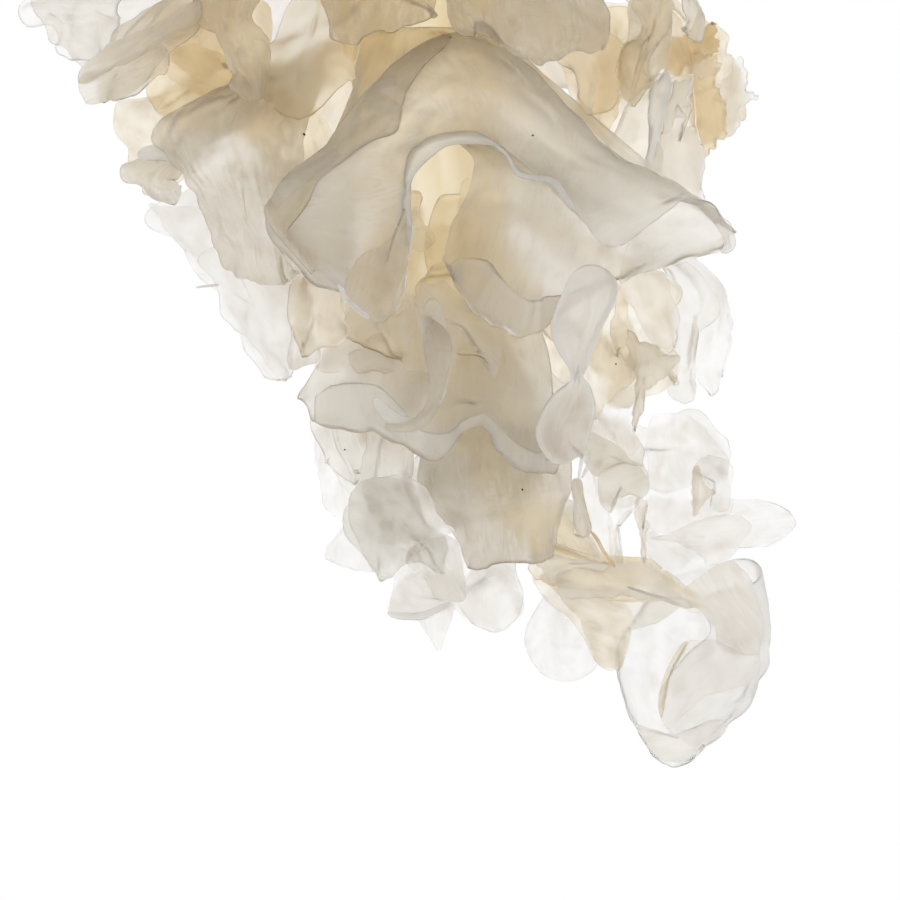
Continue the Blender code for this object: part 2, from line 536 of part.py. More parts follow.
def tip_fronds(put, pale, grey, yellow):
    """The small fronds round the stalk's end, and the cup that hangs open at the tip."""
    put("lower_frond", grey, root(68, -8, 40, 6), seen(
        (2.2, 84.5, 14), (6, 84, 17.5), (10, 82.5, 19.5), (14, 81.5, 19.5), (18, 82.5, 17.5),
        (22, 83.5, 14),
    ), seen(
        (5.3, 90, 16), (8, 89.5, 20), (11.5, 89, 22), (15, 88.5, 22.5), (18.5, 88.5, 20.5),
        (21.2, 88, 17),
    ), seen(
        (7.3, 96.3, 18), (9.5, 96.3, 22), (12.5, 96.1, 24), (15.5, 95.8, 24.5), (18, 95.3, 23),
        (20.3, 93.5, 19),
    ))
    put("lower_left_lobe", grey, root(70, -60, -28, 4), seen(
        (-3.5, 77.5, 9), (-1.5, 77.5, 11.5), (0.5, 77.5, 13), (2.5, 77.5, 13.2),
    ), seen(
        (-5.8, 85.5, 13), (-2.5, 84, 17.5), (1, 84.8, 20), (3.7, 88, 20),
    ), seen(
        (-6.6, 89.5, 15), (-3, 90.5, 20), (1.8, 91, 22.5), (5.9, 91.5, 22),
    ), seen(
        (-4.6, 95, 16), (-2, 98, 19.5), (1.5, 96, 22), (6.4, 99, 23),
    ))
    put("pale_left_lobe", pale, root(80, -78, -42, 3), seen(
        (-0.5, 86, 5.5), (1, 86, 6.8), (3, 86, 7.5),
    ), seen(
        (-8.2, 91, 9), (-5, 91.3, 11), (-1, 92, 12),
    ), seen(
        (-9.6, 95.5, 10), (-5.5, 96.4, 13), (-2, 98, 14),
    ))
    put("spike_petal", pale, root(84, -28, 8, 3), seen(
        (-0.7, 99, 11), (3, 98.5, 14), (6.7, 98.5, 13),
    ), seen(
        (-1.5, 102.3, 13), (2.5, 102.9, 16), (6.7, 102, 14.5),
    ), seen(
        (2.6, 104.8, 14.5), (5, 107.2, 16), (6.8, 104.8, 15),
    ))
    put("bottom_petal", pale, root(84, 6, 44, 3), seen(
        (11.5, 93, 8), (13, 93, 8.5), (14.5, 93, 8),
    ), seen(
        (7.6, 98.5, 14), (11, 97.5, 17), (15.2, 97.5, 14),
    ), seen(
        (7.6, 101.8, 15), (11.8, 104.3, 18), (15.3, 102.2, 15.5),
    ))
    put("round_lobe", pale, seen(
        (18.5, 98.3, 1.5), (21, 99, 2), (23.5, 99.8, 2.5),
    ), seen(
        (16.5, 102.5, 3), (20, 102, 5.5), (24, 102.5, 5.5),
    ), seen(
        (15.9, 106, 4), (20, 105.5, 7), (25, 105.5, 7),
    ), seen(
        (17.8, 109.2, 5), (21, 110.2, 7), (25, 109, 6.5),
    ))
    put("tan_lobe", yellow, seen(
        (16, 95.6, 5.2), (20.5, 97.4, 6.2), (25.3, 99.3, 7.2),
    ), seen(
        (17.5, 99, 8.5), (22, 100.3, 11), (28.3, 101, 11),
    ), seen(
        (21.7, 102.7, 10.5), (25, 103.8, 13), (29, 103.5, 13),
    ), seen(
        (24.6, 108, 12), (26.3, 109, 13.5), (28.1, 108, 13.5),
    ))
    put("tip_bridge_frond", yellow, seen(
        (17, 91.2, 5.6), (19, 92.8, 6.4), (21.5, 94.4, 7), (24.5, 95.8, 7.2), (27, 96.8, 7.6),
        (29.6, 97.6, 8),
    ), seen(
        (15.3, 94.4, 13), (20, 93.9, 14.5), (25, 95.3, 14), (30.5, 94.9, 13), (34, 97.3, 13),
        (37.8, 100.4, 14),
    ), seen(
        (16.6, 97.6, 14.5), (21, 98.8, 16), (25, 99.8, 16), (29, 100.6, 15), (33, 100.6, 14.5),
        (37.2, 102.2, 14.5),
    ))
    put("tip_cup_frond", pale, seen(
        (31.6, 99.2, 6.3), (33.5, 97.5, 3.5), (39, 95.6, 1.5), (43.7, 95, 6), (44.8, 97.6, 12),
        (40.5, 98.7, 16), (36.2, 100.6, 18),
    ), seen(
        (27.6, 105, 10), (31, 105, 5), (37, 105, 1), (43.9, 104, 3), (46.2, 105, 10),
        (42.3, 104, 17), (38.8, 103.8, 19),
    ), seen(
        (26.6, 109.8, 11), (31, 110.5, 6), (36.5, 111, 3), (42.5, 110.4, 5), (44.8, 110.4, 11),
        (40.5, 109.5, 17.5), (35, 107.4, 19.5),
    ), seen(
        (29.3, 115.4, 11), (32, 116.4, 8), (35.5, 117, 6.5), (39.4, 116, 8), (41.6, 115, 12),
        (38, 114.3, 16.5), (32.6, 112.8, 18.5),
    ), seen(
        (31.9, 120, 12), (33, 120.9, 11), (34.7, 121.1, 11), (36.8, 119.8, 11.5), (38, 118.4, 13),
        (36, 118, 15.5), (33.4, 116.4, 17),
    ))


def back_fronds(put, pale, grey, yellow):
    """Ruffled fans that fill the back and the skirt just above the foot, tier by tier."""
    # up, first azimuth, how many, azimuth step, spread, reach, rise, look
    tiers = (
        (5.0, 20.0, 4, 90.0, 86.0, 41.0, 8.0, grey),
        (15.0, 150.0, 2, 62.0, 58.0, 42.0, 18.0, pale),
        (26.0, 151.0, 2, 58.0, 54.0, 37.0, 22.0, yellow),
        (38.0, 152.0, 2, 56.0, 52.0, 31.0, 24.0, pale),
        (50.0, 152.0, 2, 56.0, 52.0, 25.0, 22.0, yellow),
        (62.0, 151.0, 2, 58.0, 54.0, 19.0, 20.0, pale),
        (75.0, 176.0, 1, 66.0, 80.0, 14.0, 17.0, grey),
    )
    made = 0
    for up, first, count, step, spread, reach, rise, look in tiers:
        for place in range(count):
            made += 1
            fan = ruffle(
                up=up,
                azimuth=first + step * place,
                spread=spread,
                reach=reach,
                rise=rise,
                seed=made,
            )
            put(f"back_frond_{made:02d}", look, *fan, levels=0)


def main():
    for leftover in list(bpy.data.objects):
        bpy.data.objects.remove(leftover)
    collection = bpy.data.collections.new("snow_fungus")
    bpy.context.scene.collection.children.link(collection)
    pale = material("pale gel", PALE_GEL, GEL_ROUGHNESS)
    grey = material("grey gel", GREY_GEL, GEL_ROUGHNESS)
    yellow = material("yellow gel", YELLOW_GEL, GEL_ROUGHNESS)

    def put(name, look, *rows, levels=SMOOTHING):
        frond(name, rows, collection, look, levels)

    stalk_and_foot(collection, material("foot", FOOT_ORANGE, FOOT_ROUGHNESS))
    middle_fronds(put, pale, grey, yellow)
    left_fronds(put, pale, grey, yellow)
    top_fronds(put, pale, grey, yellow)
    right_fronds(put, pale, yellow)
    tip_fronds(put, pale, grey, yellow)
    back_fronds(put, pale, grey, yellow)


main()
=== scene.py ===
import math
import random

import bpy
import numpy as np
from mathutils import Matrix, Vector, kdtree, noise

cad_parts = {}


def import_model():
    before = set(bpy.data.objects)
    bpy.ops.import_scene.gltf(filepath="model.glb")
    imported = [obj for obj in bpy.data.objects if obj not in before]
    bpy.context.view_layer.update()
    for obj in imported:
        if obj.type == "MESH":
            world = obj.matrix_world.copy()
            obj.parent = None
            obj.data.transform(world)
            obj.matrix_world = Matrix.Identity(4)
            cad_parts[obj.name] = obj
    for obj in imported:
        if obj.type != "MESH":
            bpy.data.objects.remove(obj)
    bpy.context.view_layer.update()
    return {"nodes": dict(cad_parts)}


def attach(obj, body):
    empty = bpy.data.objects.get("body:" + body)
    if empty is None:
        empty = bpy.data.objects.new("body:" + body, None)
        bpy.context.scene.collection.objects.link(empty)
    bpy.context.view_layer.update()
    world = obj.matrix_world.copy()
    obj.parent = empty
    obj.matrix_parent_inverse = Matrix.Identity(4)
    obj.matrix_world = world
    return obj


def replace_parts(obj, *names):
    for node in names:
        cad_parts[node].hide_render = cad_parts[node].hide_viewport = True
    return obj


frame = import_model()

mm = 0.001

# The same named values as the part's source, so every frond lies on its own solid.
# Side, up and out are in mm: side to the photo's right, up from the cut foot, out towards the camera.
viewDistance = 375.0
viewSide = 6.25
viewUp = 81.25
solidThickness = 1.0
jointGap = 0.5
tightening = 3
stalkLine = (  # side, up, out and radius
    (0.0, 0.0, 0.0, 19.0),
    (0.0, 4.0, 0.0, 19.5),
    (0.0, 9.0, 0.0, 18.0),
    (1.0, 16.0, -1.0, 14.0),
    (2.0, 24.0, -1.5, 11.5),
    (4.0, 38.0, -2.5, 9.0),
    (7.0, 60.0, -3.0, 6.8),
    (10.0, 75.0, -2.0, 5.6),
    (15.0, 88.0, 0.0, 4.2),
    (22.0, 95.0, 2.0, 2.8),
    (29.0, 98.0, 5.0, 1.6),
)


def world(side, up, out):
    return Vector((-side, -out, up)) * mm


def seen(places):  # places read from the photo, drawn in with nearness
    row = []
    for side, up, out in places:
        shrink = 1.0 - out / viewDistance
        row.append(world(viewSide + (side - viewSide) * shrink, viewUp + (up - viewUp) * shrink, out))
    return row


def stalkAt(up):  # the stalk's middle (side, out) and radius at a height
    for low, high in zip(stalkLine, stalkLine[1:]):
        if up <= high[1]:
            break
    share = (up - low[1]) / (high[1] - low[1])
    return tuple(low[i] + (high[i] - low[i]) * share for i in (0, 2, 3))


def onStalk(up, azimuth):
    side, out, radius = stalkAt(up)
    widest = stalkAt(max(0.0, up - 1.5 * solidThickness))[2]
    reach = widest + solidThickness / 2 + jointGap
    angle = math.radians(azimuth)
    return world(side + reach * math.sin(angle), up, out + reach * math.cos(angle))


def root(up, firstAzimuth, lastAzimuth, count):  # a frond's root, round the stalk
    step = (lastAzimuth - firstAzimuth) / (count - 1)
    return [onStalk(up, firstAzimuth + step * i) for i in range(count)]


def rootLine(azimuth, firstUp, lastUp, count):  # a frond's root, along the stalk
    step = (lastUp - firstUp) / (count - 1)
    return [onStalk(firstUp + step * i, azimuth) for i in range(count)]


def drawnTo(rows):  # where a subdivision surface would draw each place of a grid to
    drawn = rows.copy()
    drawn[1:-1] = (rows[:-2] + 4 * rows[1:-1] + rows[2:]) / 6
    across = drawn.copy()
    across[:, 1:-1] = (drawn[:, :-2] + 4 * drawn[:, 1:-1] + drawn[:, 2:]) / 6
    return across


def tightened(rows):  # a cage whose smoothed surface passes near the places given
    wanted = np.array([[tuple(p) for p in row] for row in rows])
    cage = wanted.copy()
    for _ in range(tightening):
        cage += wanted - drawnTo(cage)
    return [[Vector(p) for p in row] for row in cage]


# Materials

def linear(code):  # an sRGB hex colour as linear red, green, blue, alpha
    parts = [int(code[i:i + 2], 16) / 255 for i in (1, 3, 5)]
    return tuple(c / 12.92 if c <= 0.04045 else ((c + 0.055) / 1.055) ** 2.4 for c in parts) + (1.0,)


def addNode(tree, kind, inputs=None, **settings):  # an input is a value or the socket that feeds it
    node = tree.nodes.new(kind)
    for name, value in settings.items():
        setattr(node, name, value)
    for name, value in (inputs or {}).items():
        if isinstance(value, bpy.types.NodeSocket):
            tree.links.new(value, node.inputs[name])
        else:
            node.inputs[name].default_value = value
    return node


def newMaterial(name):
    made = bpy.data.materials.new(name)
    made.use_nodes = True
    made.node_tree.nodes.clear()
    return made, made.node_tree


def perMm(size):  # a texture scale that gives features of this many millimetres
    return 1000.0 / size


noiseEnds = (0.35, 0.65)  # between which nearly all of a noise lies


def jellyGel(name, look):
    made, tree = newMaterial(name)
    place = addNode(tree, "ShaderNodeTexCoord").outputs["Object"]
    haze, heart, shade = (
        addNode(tree, "ShaderNodeAttribute", attribute_name=kind).outputs["Fac"]
        for kind in ("haze", "heart", "shade")
    )
    cloud = addNode(
        tree, "ShaderNodeTexNoise", {"Vector": place, "Scale": perMm(look["cloudMm"]), "Detail": 1.0}
    ).outputs["Fac"]
    sheetPlace = addNode(tree, "ShaderNodeUVMap").outputs["UV"]
    vein = addNode(
        tree, "ShaderNodeTexNoise",
        {"Vector": sheetPlace, "Scale": perMm(look["veinMm"]), "Detail": 2.0, "Distortion": 0.8},
        noise_dimensions="2D",
    ).outputs["Fac"]
    streakScale = (perMm(look["streakMm"][0]), perMm(look["streakMm"][1]), 1.0)
    along = addNode(tree, "ShaderNodeVectorMath", {0: sheetPlace, 1: streakScale}, operation="MULTIPLY")
    streak = addNode(
        tree, "ShaderNodeTexNoise",
        {"Vector": along.outputs["Vector"], "Scale": 1.0, "Detail": 2.0, "Distortion": 1.7},
        noise_dimensions="2D",
    ).outputs["Fac"]

    def spread(source, low, high, fromMin, fromMax):
        ends = {"From Min": fromMin, "From Max": fromMax, "To Min": low, "To Max": high}
        return addNode(tree, "ShaderNodeMapRange", {"Value": source, **ends}).outputs["Result"]

    def sums(first, second, operation="ADD", **settings):
        node = addNode(tree, "ShaderNodeMath", {0: first, 1: second}, operation=operation, **settings)
        return node.outputs["Value"]

    def line(source, width, height):  # a thin line where the noise passes its middle
        return spread(sums(sums(source, 0.5, "SUBTRACT"), 0.0, "ABSOLUTE"), height, 0.0, 0.0, width)

    def mixed(factor, first, second, blend="MIX"):
        mix = addNode(tree, "ShaderNodeMix", {0: factor, 6: first, 7: second}, data_type="RGBA", blend_type=blend)
        return mix.outputs[2]

    # Thin darker, milkier lines on the creases and wrinkles: partly thicker jelly, partly painted shade in the folds
    creaseShadeLine = line(vein, look["creaseWidth"], look["vein"])
    wrinkleShadeLine = line(streak, look["wrinkleWidth"], look["streak"] * 0.5)
    patch = spread(cloud, *look["patches"], 0.4, 0.62)
    grain = sums(spread(streak, -look["streak"], look["streak"], *noiseEnds), patch, "MULTIPLY")
    streaksAndPaintedShade = sums(sums(shade, grain), sums(creaseShadeLine, wrinkleShadeLine), use_clamp=True)
    warm = mixed(heart, linear(look["clear"]), linear(look["honey"]))
    milky = mixed(cloud, warm, linear(look["milk"]), "MULTIPLY")
    # The gel is darkened towards its deep colour by its streaks and by painted shade (the shade attribute and the
    # lines)
    colour = mixed(streaksAndPaintedShade, milky, linear(look["deep"]), "MULTIPLY")
    most, least = look["transmission"] + look["mottle"], look["transmission"] - look["mottle"]
    mottle = spread(cloud, most, least, *noiseEnds)
    clearness = sums(mottle, sums(haze, sums(creaseShadeLine, wrinkleShadeLine)), "SUBTRACT", use_clamp=True)
    gloss = spread(cloud, *look["roughness"], 0.0, 1.0)
    body = addNode(tree, "ShaderNodeBsdfPrincipled", {
        "Base Color": colour, "Roughness": gloss, "Transmission Weight": clearness, "IOR": look["ior"],
    })
    soak = addNode(
        tree, "ShaderNodeVolumeAbsorption", {"Color": linear(look["soak"]), "Density": look["density"]}
    )
    ends = {"Surface": body.outputs["BSDF"], "Volume": soak.outputs["Volume"]}
    addNode(tree, "ShaderNodeOutputMaterial", ends)
    return made


def plainMaterial(name, code, roughness):
    made, tree = newMaterial(name)
    body = addNode(tree, "ShaderNodeBsdfPrincipled", {"Base Color": linear(code), "Roughness": roughness})
    addNode(tree, "ShaderNodeOutputMaterial", {"Surface": body.outputs["BSDF"]})
    return made


# Jelly soaked in water, smooth and wet. Its index of refraction is drawn weaker than water's 1.33, because
# in the photo what lies behind a sheet is hardly bent. Clouds are milky patches in the jelly, 3 mm across.
# Streaks run along the grain and creases across it. Both are drawn about three times as far apart as the
# real ones, which are too fine to show. Thin lines on both are darker and milkier: partly thicker jelly,
# partly painted shade in the folds.
gelGrain = dict(
    cloudMm=3.0, veinMm=5.0, streakMm=(1.1, 8.0), creaseWidth=0.03, wrinkleWidth=0.05, patches=(0.1, 1.6),
)
gelLook = {
    # Young, thin jelly: almost clear, and white where light passes one sheet only
    "pale_gel": dict(
        clear="#FFFFFF", honey="#FFFAF1", milk="#FCFBF9", deep="#DFD3BE", mottle=0.035, vein=0.06, streak=0.11,
        roughness=(0.3, 0.46), transmission=0.94, ior=1.11, soak="#F0E8DA", density=50.0),
    # Thicker jelly: a dull grey veil that hides part of what lies behind it
    "grey_gel": dict(
        clear="#FEFEFD", honey="#FCF6E8", milk="#F8F6F2", deep="#D8CBB4", mottle=0.06, vein=0.1, streak=0.12,
        roughness=(0.34, 0.5), transmission=0.84, ior=1.14, soak="#ECE2D0", density=115.0),
    # Jelly near the stalk: clear but honey coloured, deeper where sheets lie behind each other
    "yellow_gel": dict(
        clear="#FFFDF8", honey="#FDF1D7", milk="#FAF6EE", deep="#D8C6A0", mottle=0.06, vein=0.1, streak=0.12,
        roughness=(0.34, 0.5), transmission=0.91, ior=1.13, soak="#F6E8C8", density=85.0),
    # Firm flesh of the stalk, cut with a knife: matt, without streaks, glowing orange yellow
    "foot_flesh": dict(
        clear="#FFFAEC", honey="#FCEDC8", milk="#FDF5E0", deep="#D8B878", mottle=0.02, vein=0.0, streak=0.0,
        roughness=(0.5, 0.7), transmission=0.93, ior=1.1, soak="#FAE8BC", density=8.0),
}
gels = {name: jellyGel(name.replace("_", " "), dict(gelGrain, **look)) for name, look in gelLook.items()}
pale, grey, yellow = "pale_gel", "grey_gel", "yellow_gel"
print("stage: materials")


# Sheets of gel

plainSheet = dict(  # what every sheet has; a piece's own dictionary changes it
    shade=0.0, haze=0.0, paintedRimHighlight=0.0, rimHazeMm=0.45,  # darker (partly denser gel, partly painted shade), milkier, and milkier at the rim (a painted highlight)
    heart=1.0, warm=0.0,  # share of the honey colour near the stalk, and honey colour all over
    slopes=(),  # axis, start and end in mm, more haze and more shade between them
    thinMm=2.2,  # how far in from the rim the wall thins
)
plainRim = dict(
    plainSheet, thickness=0.6, rimShare=0.4, fineLevels=4,
    lift=1.7, wave=7.0, deep=5.5, shortWave=0.36, shortLift=0.42, shortDeep=0.42,  # long and short waves of the rim
    lip=0.4, lipWave=1.7, lipMm=1.3,  # the curled lip of the rim
    notch=0.9, notchWave=0.55, notchDeep=2.6, nibble=0.45, nibbleMm=1.1, nibbleDeep=0.7,  # bites out of the rim
    tear=0.0, tearMm=1.7,
    pleat=0.35, pleatMm=2.6, pleatLength=14.0, crumple=0.18, crumpleMm=2.4,  # pleats along the sheet, and crumples
)
plainStrip = dict(plainRim, lift=0.1, lip=0.0, notch=0.0, pleat=0.05, crumple=0.06, thickness=0.5, fineLevels=3)
plainFlake = dict(
    plainSheet, thickness=0.42, rimShare=0.35, around=84, rings=13,
    sideTilt=0.0, upTilt=0.0, swell=0.5,  # more out for each mm to the side, for each mm up, and in the middle
    lift=0.55, wave=4.5, notch=0.22, notchMm=2.2, nibble=0.5, nibbleMm=0.9, tear=0.0, tearMm=1.3,
    crumple=0.16, crumpleMm=2.0, pleat=0.0, pleatMm=1.3, pleatLength=8.0,
)
honey = dict(reachMm=13.0, topUp=100.0, fadeMm=70.0, strength=1.15)  # how far the stalk's colour spreads
grainShift = 31.7  # sets each sheet's streaks apart from the others'


def pointUv(mesh):
    owner = np.empty(len(mesh.loops), np.int32)
    mesh.loops.foreach_get("vertex_index", owner)
    flat = np.empty(len(mesh.loops) * 2, np.float32)
    mesh.uv_layers.active.data.foreach_get("uv", flat)
    uv = np.zeros((len(mesh.vertices), 2))
    uv[owner] = flat.reshape(-1, 2)
    return uv


def read(mesh, field):
    flat = np.empty(len(mesh.vertices) * 3)
    mesh.vertices.foreach_get(field, flat)
    return flat.reshape(-1, 3)


def write(mesh, places):
    mesh.vertices.foreach_set("co", places.ravel())
    mesh.update()


def evened(values, edges, times):  # each value drawn towards its neighbours' mean
    count = np.zeros(len(values))
    np.add.at(count, edges[:, 0], 1)
    np.add.at(count, edges[:, 1], 1)
    for _ in range(times):
        total = np.zeros_like(values)
        np.add.at(total, edges[:, 0], values[edges[:, 1]])
        np.add.at(total, edges[:, 1], values[edges[:, 0]])
        mean = total / (count[:, None] if values.ndim > 1 else count)
        values = 0.5 * values + 0.5 * mean
    return values


def waves(places, size, seed):  # smooth noise, about -1 to 1, at each place, features of size mm
    shift = Vector((seed * 7.13, seed * 3.71, seed * 5.37))
    return np.array([noise.noise(Vector(p) / (size * mm) + shift) for p in places]) * 1.6


def onlyBumps(values, low, strength):  # ridges where the noise is far from zero
    return np.clip(np.abs(values) * strength - low, 0, None)


def eased(share):
    return share * share * (3 - 2 * share)


def nearestRim(places, rimPlaces):  # the nearest rim place to each place, and how far it is
    tree = kdtree.KDTree(len(rimPlaces))
    for index, place in enumerate(rimPlaces):
        tree.insert(place, index)
    tree.balance()
    found = [tree.find(p) for p in places]
    return np.array([f[1] for f in found]), np.array([f[2] for f in found])


def ruffled(mesh, look, seed, width, length):  # waves, lips, bites and pleats, strongest at the free rim
    uv = pointUv(mesh)
    places = read(mesh, "co")
    normals = read(mesh, "normal")
    edges = np.empty(len(mesh.edges) * 2, np.int32)
    mesh.edges.foreach_get("vertices", edges)
    edges = edges.reshape(-1, 2)
    u, v = uv[:, 0], uv[:, 1]
    onRim = (v > 0.999) | (((u < 0.001) | (u > 0.999)) & (v > 0.02))
    rim = np.nonzero(onRim)[0]
    rimPlaces = places[rim]
    nearest, away = nearestRim(places, rimPlaces)
    away = away / mm
    inward = np.zeros_like(places)
    for a, b in edges[onRim[edges[:, 0]] != onRim[edges[:, 1]]]:
        edgeVertex, inner = (a, b) if onRim[a] else (b, a)
        inward[edgeVertex] += places[inner] - places[edgeVertex]
    inward = inward[rim]
    inward /= np.maximum(np.linalg.norm(inward, axis=1), 1e-9)[:, None]
    free = eased(np.clip((v - 0.06) / 0.45, 0.0, 1.0))  # 0 at the root, so that it stays on the stalk

    long = waves(rimPlaces, look["wave"], seed)
    short = waves(rimPlaces, look["wave"] * look["shortWave"], seed + 11)
    fold = np.exp(-(away / look["deep"]) ** 1.5)
    foldShort = np.exp(-(away / (look["deep"] * look["shortDeep"])) ** 1.5)
    lift = look["lift"] * (long[nearest] * fold + look["shortLift"] * short[nearest] * foldShort)
    side = np.tanh(waves(rimPlaces, look["wave"] * look["lipWave"], seed + 23) * 4)
    lip = look["lip"] * side[nearest] * np.clip(1 - away / look["lipMm"], 0, 1) ** 2
    bite = waves(rimPlaces, look["wave"] * look["notchWave"], seed + 31)
    bite = look["notch"] * np.clip(0.35 + bite, 0, None)
    if look["tear"]:
        bite = bite + look["tear"] * onlyBumps(waves(rimPlaces, look["tearMm"], seed + 41), 0.1, 1.5)
    nibble = look["notch"] * look["nibble"] * np.abs(waves(rimPlaces, look["nibbleMm"], seed + 37))
    pull = bite[nearest] * np.exp(-away / look["notchDeep"]) + nibble[nearest] * np.exp(-away / look["nibbleDeep"])
    pleats = np.array([
        noise.noise(Vector((a * width / look["pleatMm"], b * length / look["pleatLength"], seed * 1.7)))
        for a, b in uv
    ])
    crumples = waves(places, look["crumpleMm"], seed + 53)
    shift = lift * free + lip * free
    shift += look["pleat"] * pleats * np.clip(v * 3, 0, 1)
    shift += look["crumple"] * crumples * np.clip(v * 3, 0, 1)
    shift = evened(shift, edges, 2)
    pulled = evened((pull * free)[:, None] * inward[nearest], edges, 2)
    write(mesh, places + (normals * shift[:, None] + pulled) * mm)
    return away


def heartOf(places):  # how honey coloured the gel is: 1 near the stalk and the foot, 0 at the tips
    up = places[:, 2] / mm
    heights = [p[1] for p in stalkLine]
    sides, outs, radii = (np.interp(up, heights, [p[i] for p in stalkLine]) for i in (0, 2, 3))
    gap = np.hypot(places[:, 0] / mm + sides, places[:, 1] / mm + outs) - radii
    near = np.exp(-np.clip(gap, 0, None) / honey["reachMm"])
    low = np.clip((honey["topUp"] - up) / honey["fadeMm"], 0.0, 1.0)
    return np.clip(near * low * honey["strength"], 0.0, 1.0)


def setValue(mesh, name, values):
    attribute = mesh.attributes.new(name, "FLOAT", "POINT")
    attribute.data.foreach_set("value", np.ascontiguousarray(values, np.float32))


def setGrain(mesh, places):  # the UV map in real millimetres: across and along the gel's grain
    owner = np.empty(len(mesh.loops), np.int32)
    mesh.loops.foreach_get("vertex_index", owner)
    mesh.uv_layers.active.data.foreach_set("uv", np.ascontiguousarray(places[owner] * mm, np.float32).ravel())


def finishSheet(piece, gel, look, away):  # gives a single sheet its wall, thinner at the rim, and its gel
    mesh = piece.data
    places = read(mesh, "co")
    # A milkier rim is a painted highlight along the sheet's edge
    haze = look["haze"] + look["paintedRimHighlight"] * np.exp(-(away / look["rimHazeMm"]) ** 2)
    # Shade darkens each sheet's colour, per piece and along its slopes: partly denser gel, partly painted shade
    shade = np.full(len(places), look["shade"])
    for axis, start, end, moreHaze, moreShade in look["slopes"]:
        position = -places[:, 0] / mm if axis == "side" else places[:, 2] / mm
        share = eased(np.clip((position - start) / (end - start), 0, 1))
        haze = haze + moreHaze * share
        shade = shade + moreShade * share
    setValue(mesh, "heart", np.maximum(heartOf(places) * look["heart"], look["warm"]))
    setValue(mesh, "haze", haze)
    setValue(mesh, "shade", shade)
    body = piece.vertex_groups.new(name="body")
    for index, share in enumerate(np.clip(away / look["thinMm"], 0.0, 1.0)):
        body.add([index], float(share), "REPLACE")
    wall = piece.modifiers.new("wall", "SOLIDIFY")
    wall.thickness = look["thickness"] * mm
    wall.offset = 0.0
    wall.vertex_group = "body"
    wall.thickness_vertex_group = look["rimShare"]
    bpy.ops.object.modifier_apply(modifier="wall")
    piece.vertex_groups.clear()
    bpy.ops.object.shade_smooth()
    mesh.materials.append(gels[gel])
    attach(piece, "root")


def newGrid(name, across, along):
    bpy.ops.object.select_all(action="DESELECT")
    bpy.ops.mesh.primitive_grid_add(x_subdivisions=across, y_subdivisions=along, size=1, calc_uvs=True)
    piece = bpy.context.object
    piece.name = piece.data.name = name
    return piece


def sheet(name, rows, gel, look, seed):  # a smooth sheet through rows of places, from root to rim
    rows = tightened([seen(row) if isinstance(row[0], tuple) else row for row in rows])
    columns = len(rows[0])
    piece = newGrid(name, columns - 1, len(rows) - 1)
    mesh = piece.data
    for vertex, (u, v) in zip(mesh.vertices, pointUv(mesh)):
        vertex.co = rows[round(v * (len(rows) - 1))][round(u * (columns - 1))]
    smooth = piece.modifiers.new("smooth", "SUBSURF")
    smooth.levels = smooth.render_levels = look["fineLevels"]
    smooth.uv_smooth = "NONE"
    bpy.ops.object.modifier_apply(modifier="smooth")
    top = rows[-1]
    width = sum((b - a).length for a, b in zip(top, top[1:])) / mm
    middle = [row[len(row) // 2] for row in rows]
    length = sum((b - a).length for a, b in zip(middle, middle[1:])) / mm
    away = ruffled(mesh, look, seed, width, length)
    setGrain(mesh, pointUv(mesh) * (width, length) + seed * grainShift)
    finishSheet(piece, gel, look, away)
    return piece


def closedCurve(outline, count):  # evenly spaced places along a smooth closed line through the outline
    points = np.array(outline, float)
    fine = []
    for i in range(len(points)):
        a, b, c, d = (points[(i + k) % len(points)] for k in (-1, 0, 1, 2))
        for t in np.linspace(0, 1, 24, endpoint=False):
            square, cube = 2 * a - 5 * b + 4 * c - d, 3 * b - a - 3 * c + d
            fine.append(0.5 * (2 * b + (c - a) * t + square * t * t + cube * t**3))
    fine = np.array(fine + fine[:1])
    along = np.concatenate([[0], np.cumsum(np.linalg.norm(np.diff(fine, axis=0), axis=1))])
    wanted = np.linspace(0, along[-1], count, endpoint=False)
    return np.stack([np.interp(wanted, along, fine[:, i]) for i in (0, 1)], axis=1)


def withZero(places):
    return np.column_stack([places, np.zeros(len(places))])


sheetCount = 0


def nextSeed():  # each sheet has its own noise
    global sheetCount
    sheetCount += 1
    return sheetCount


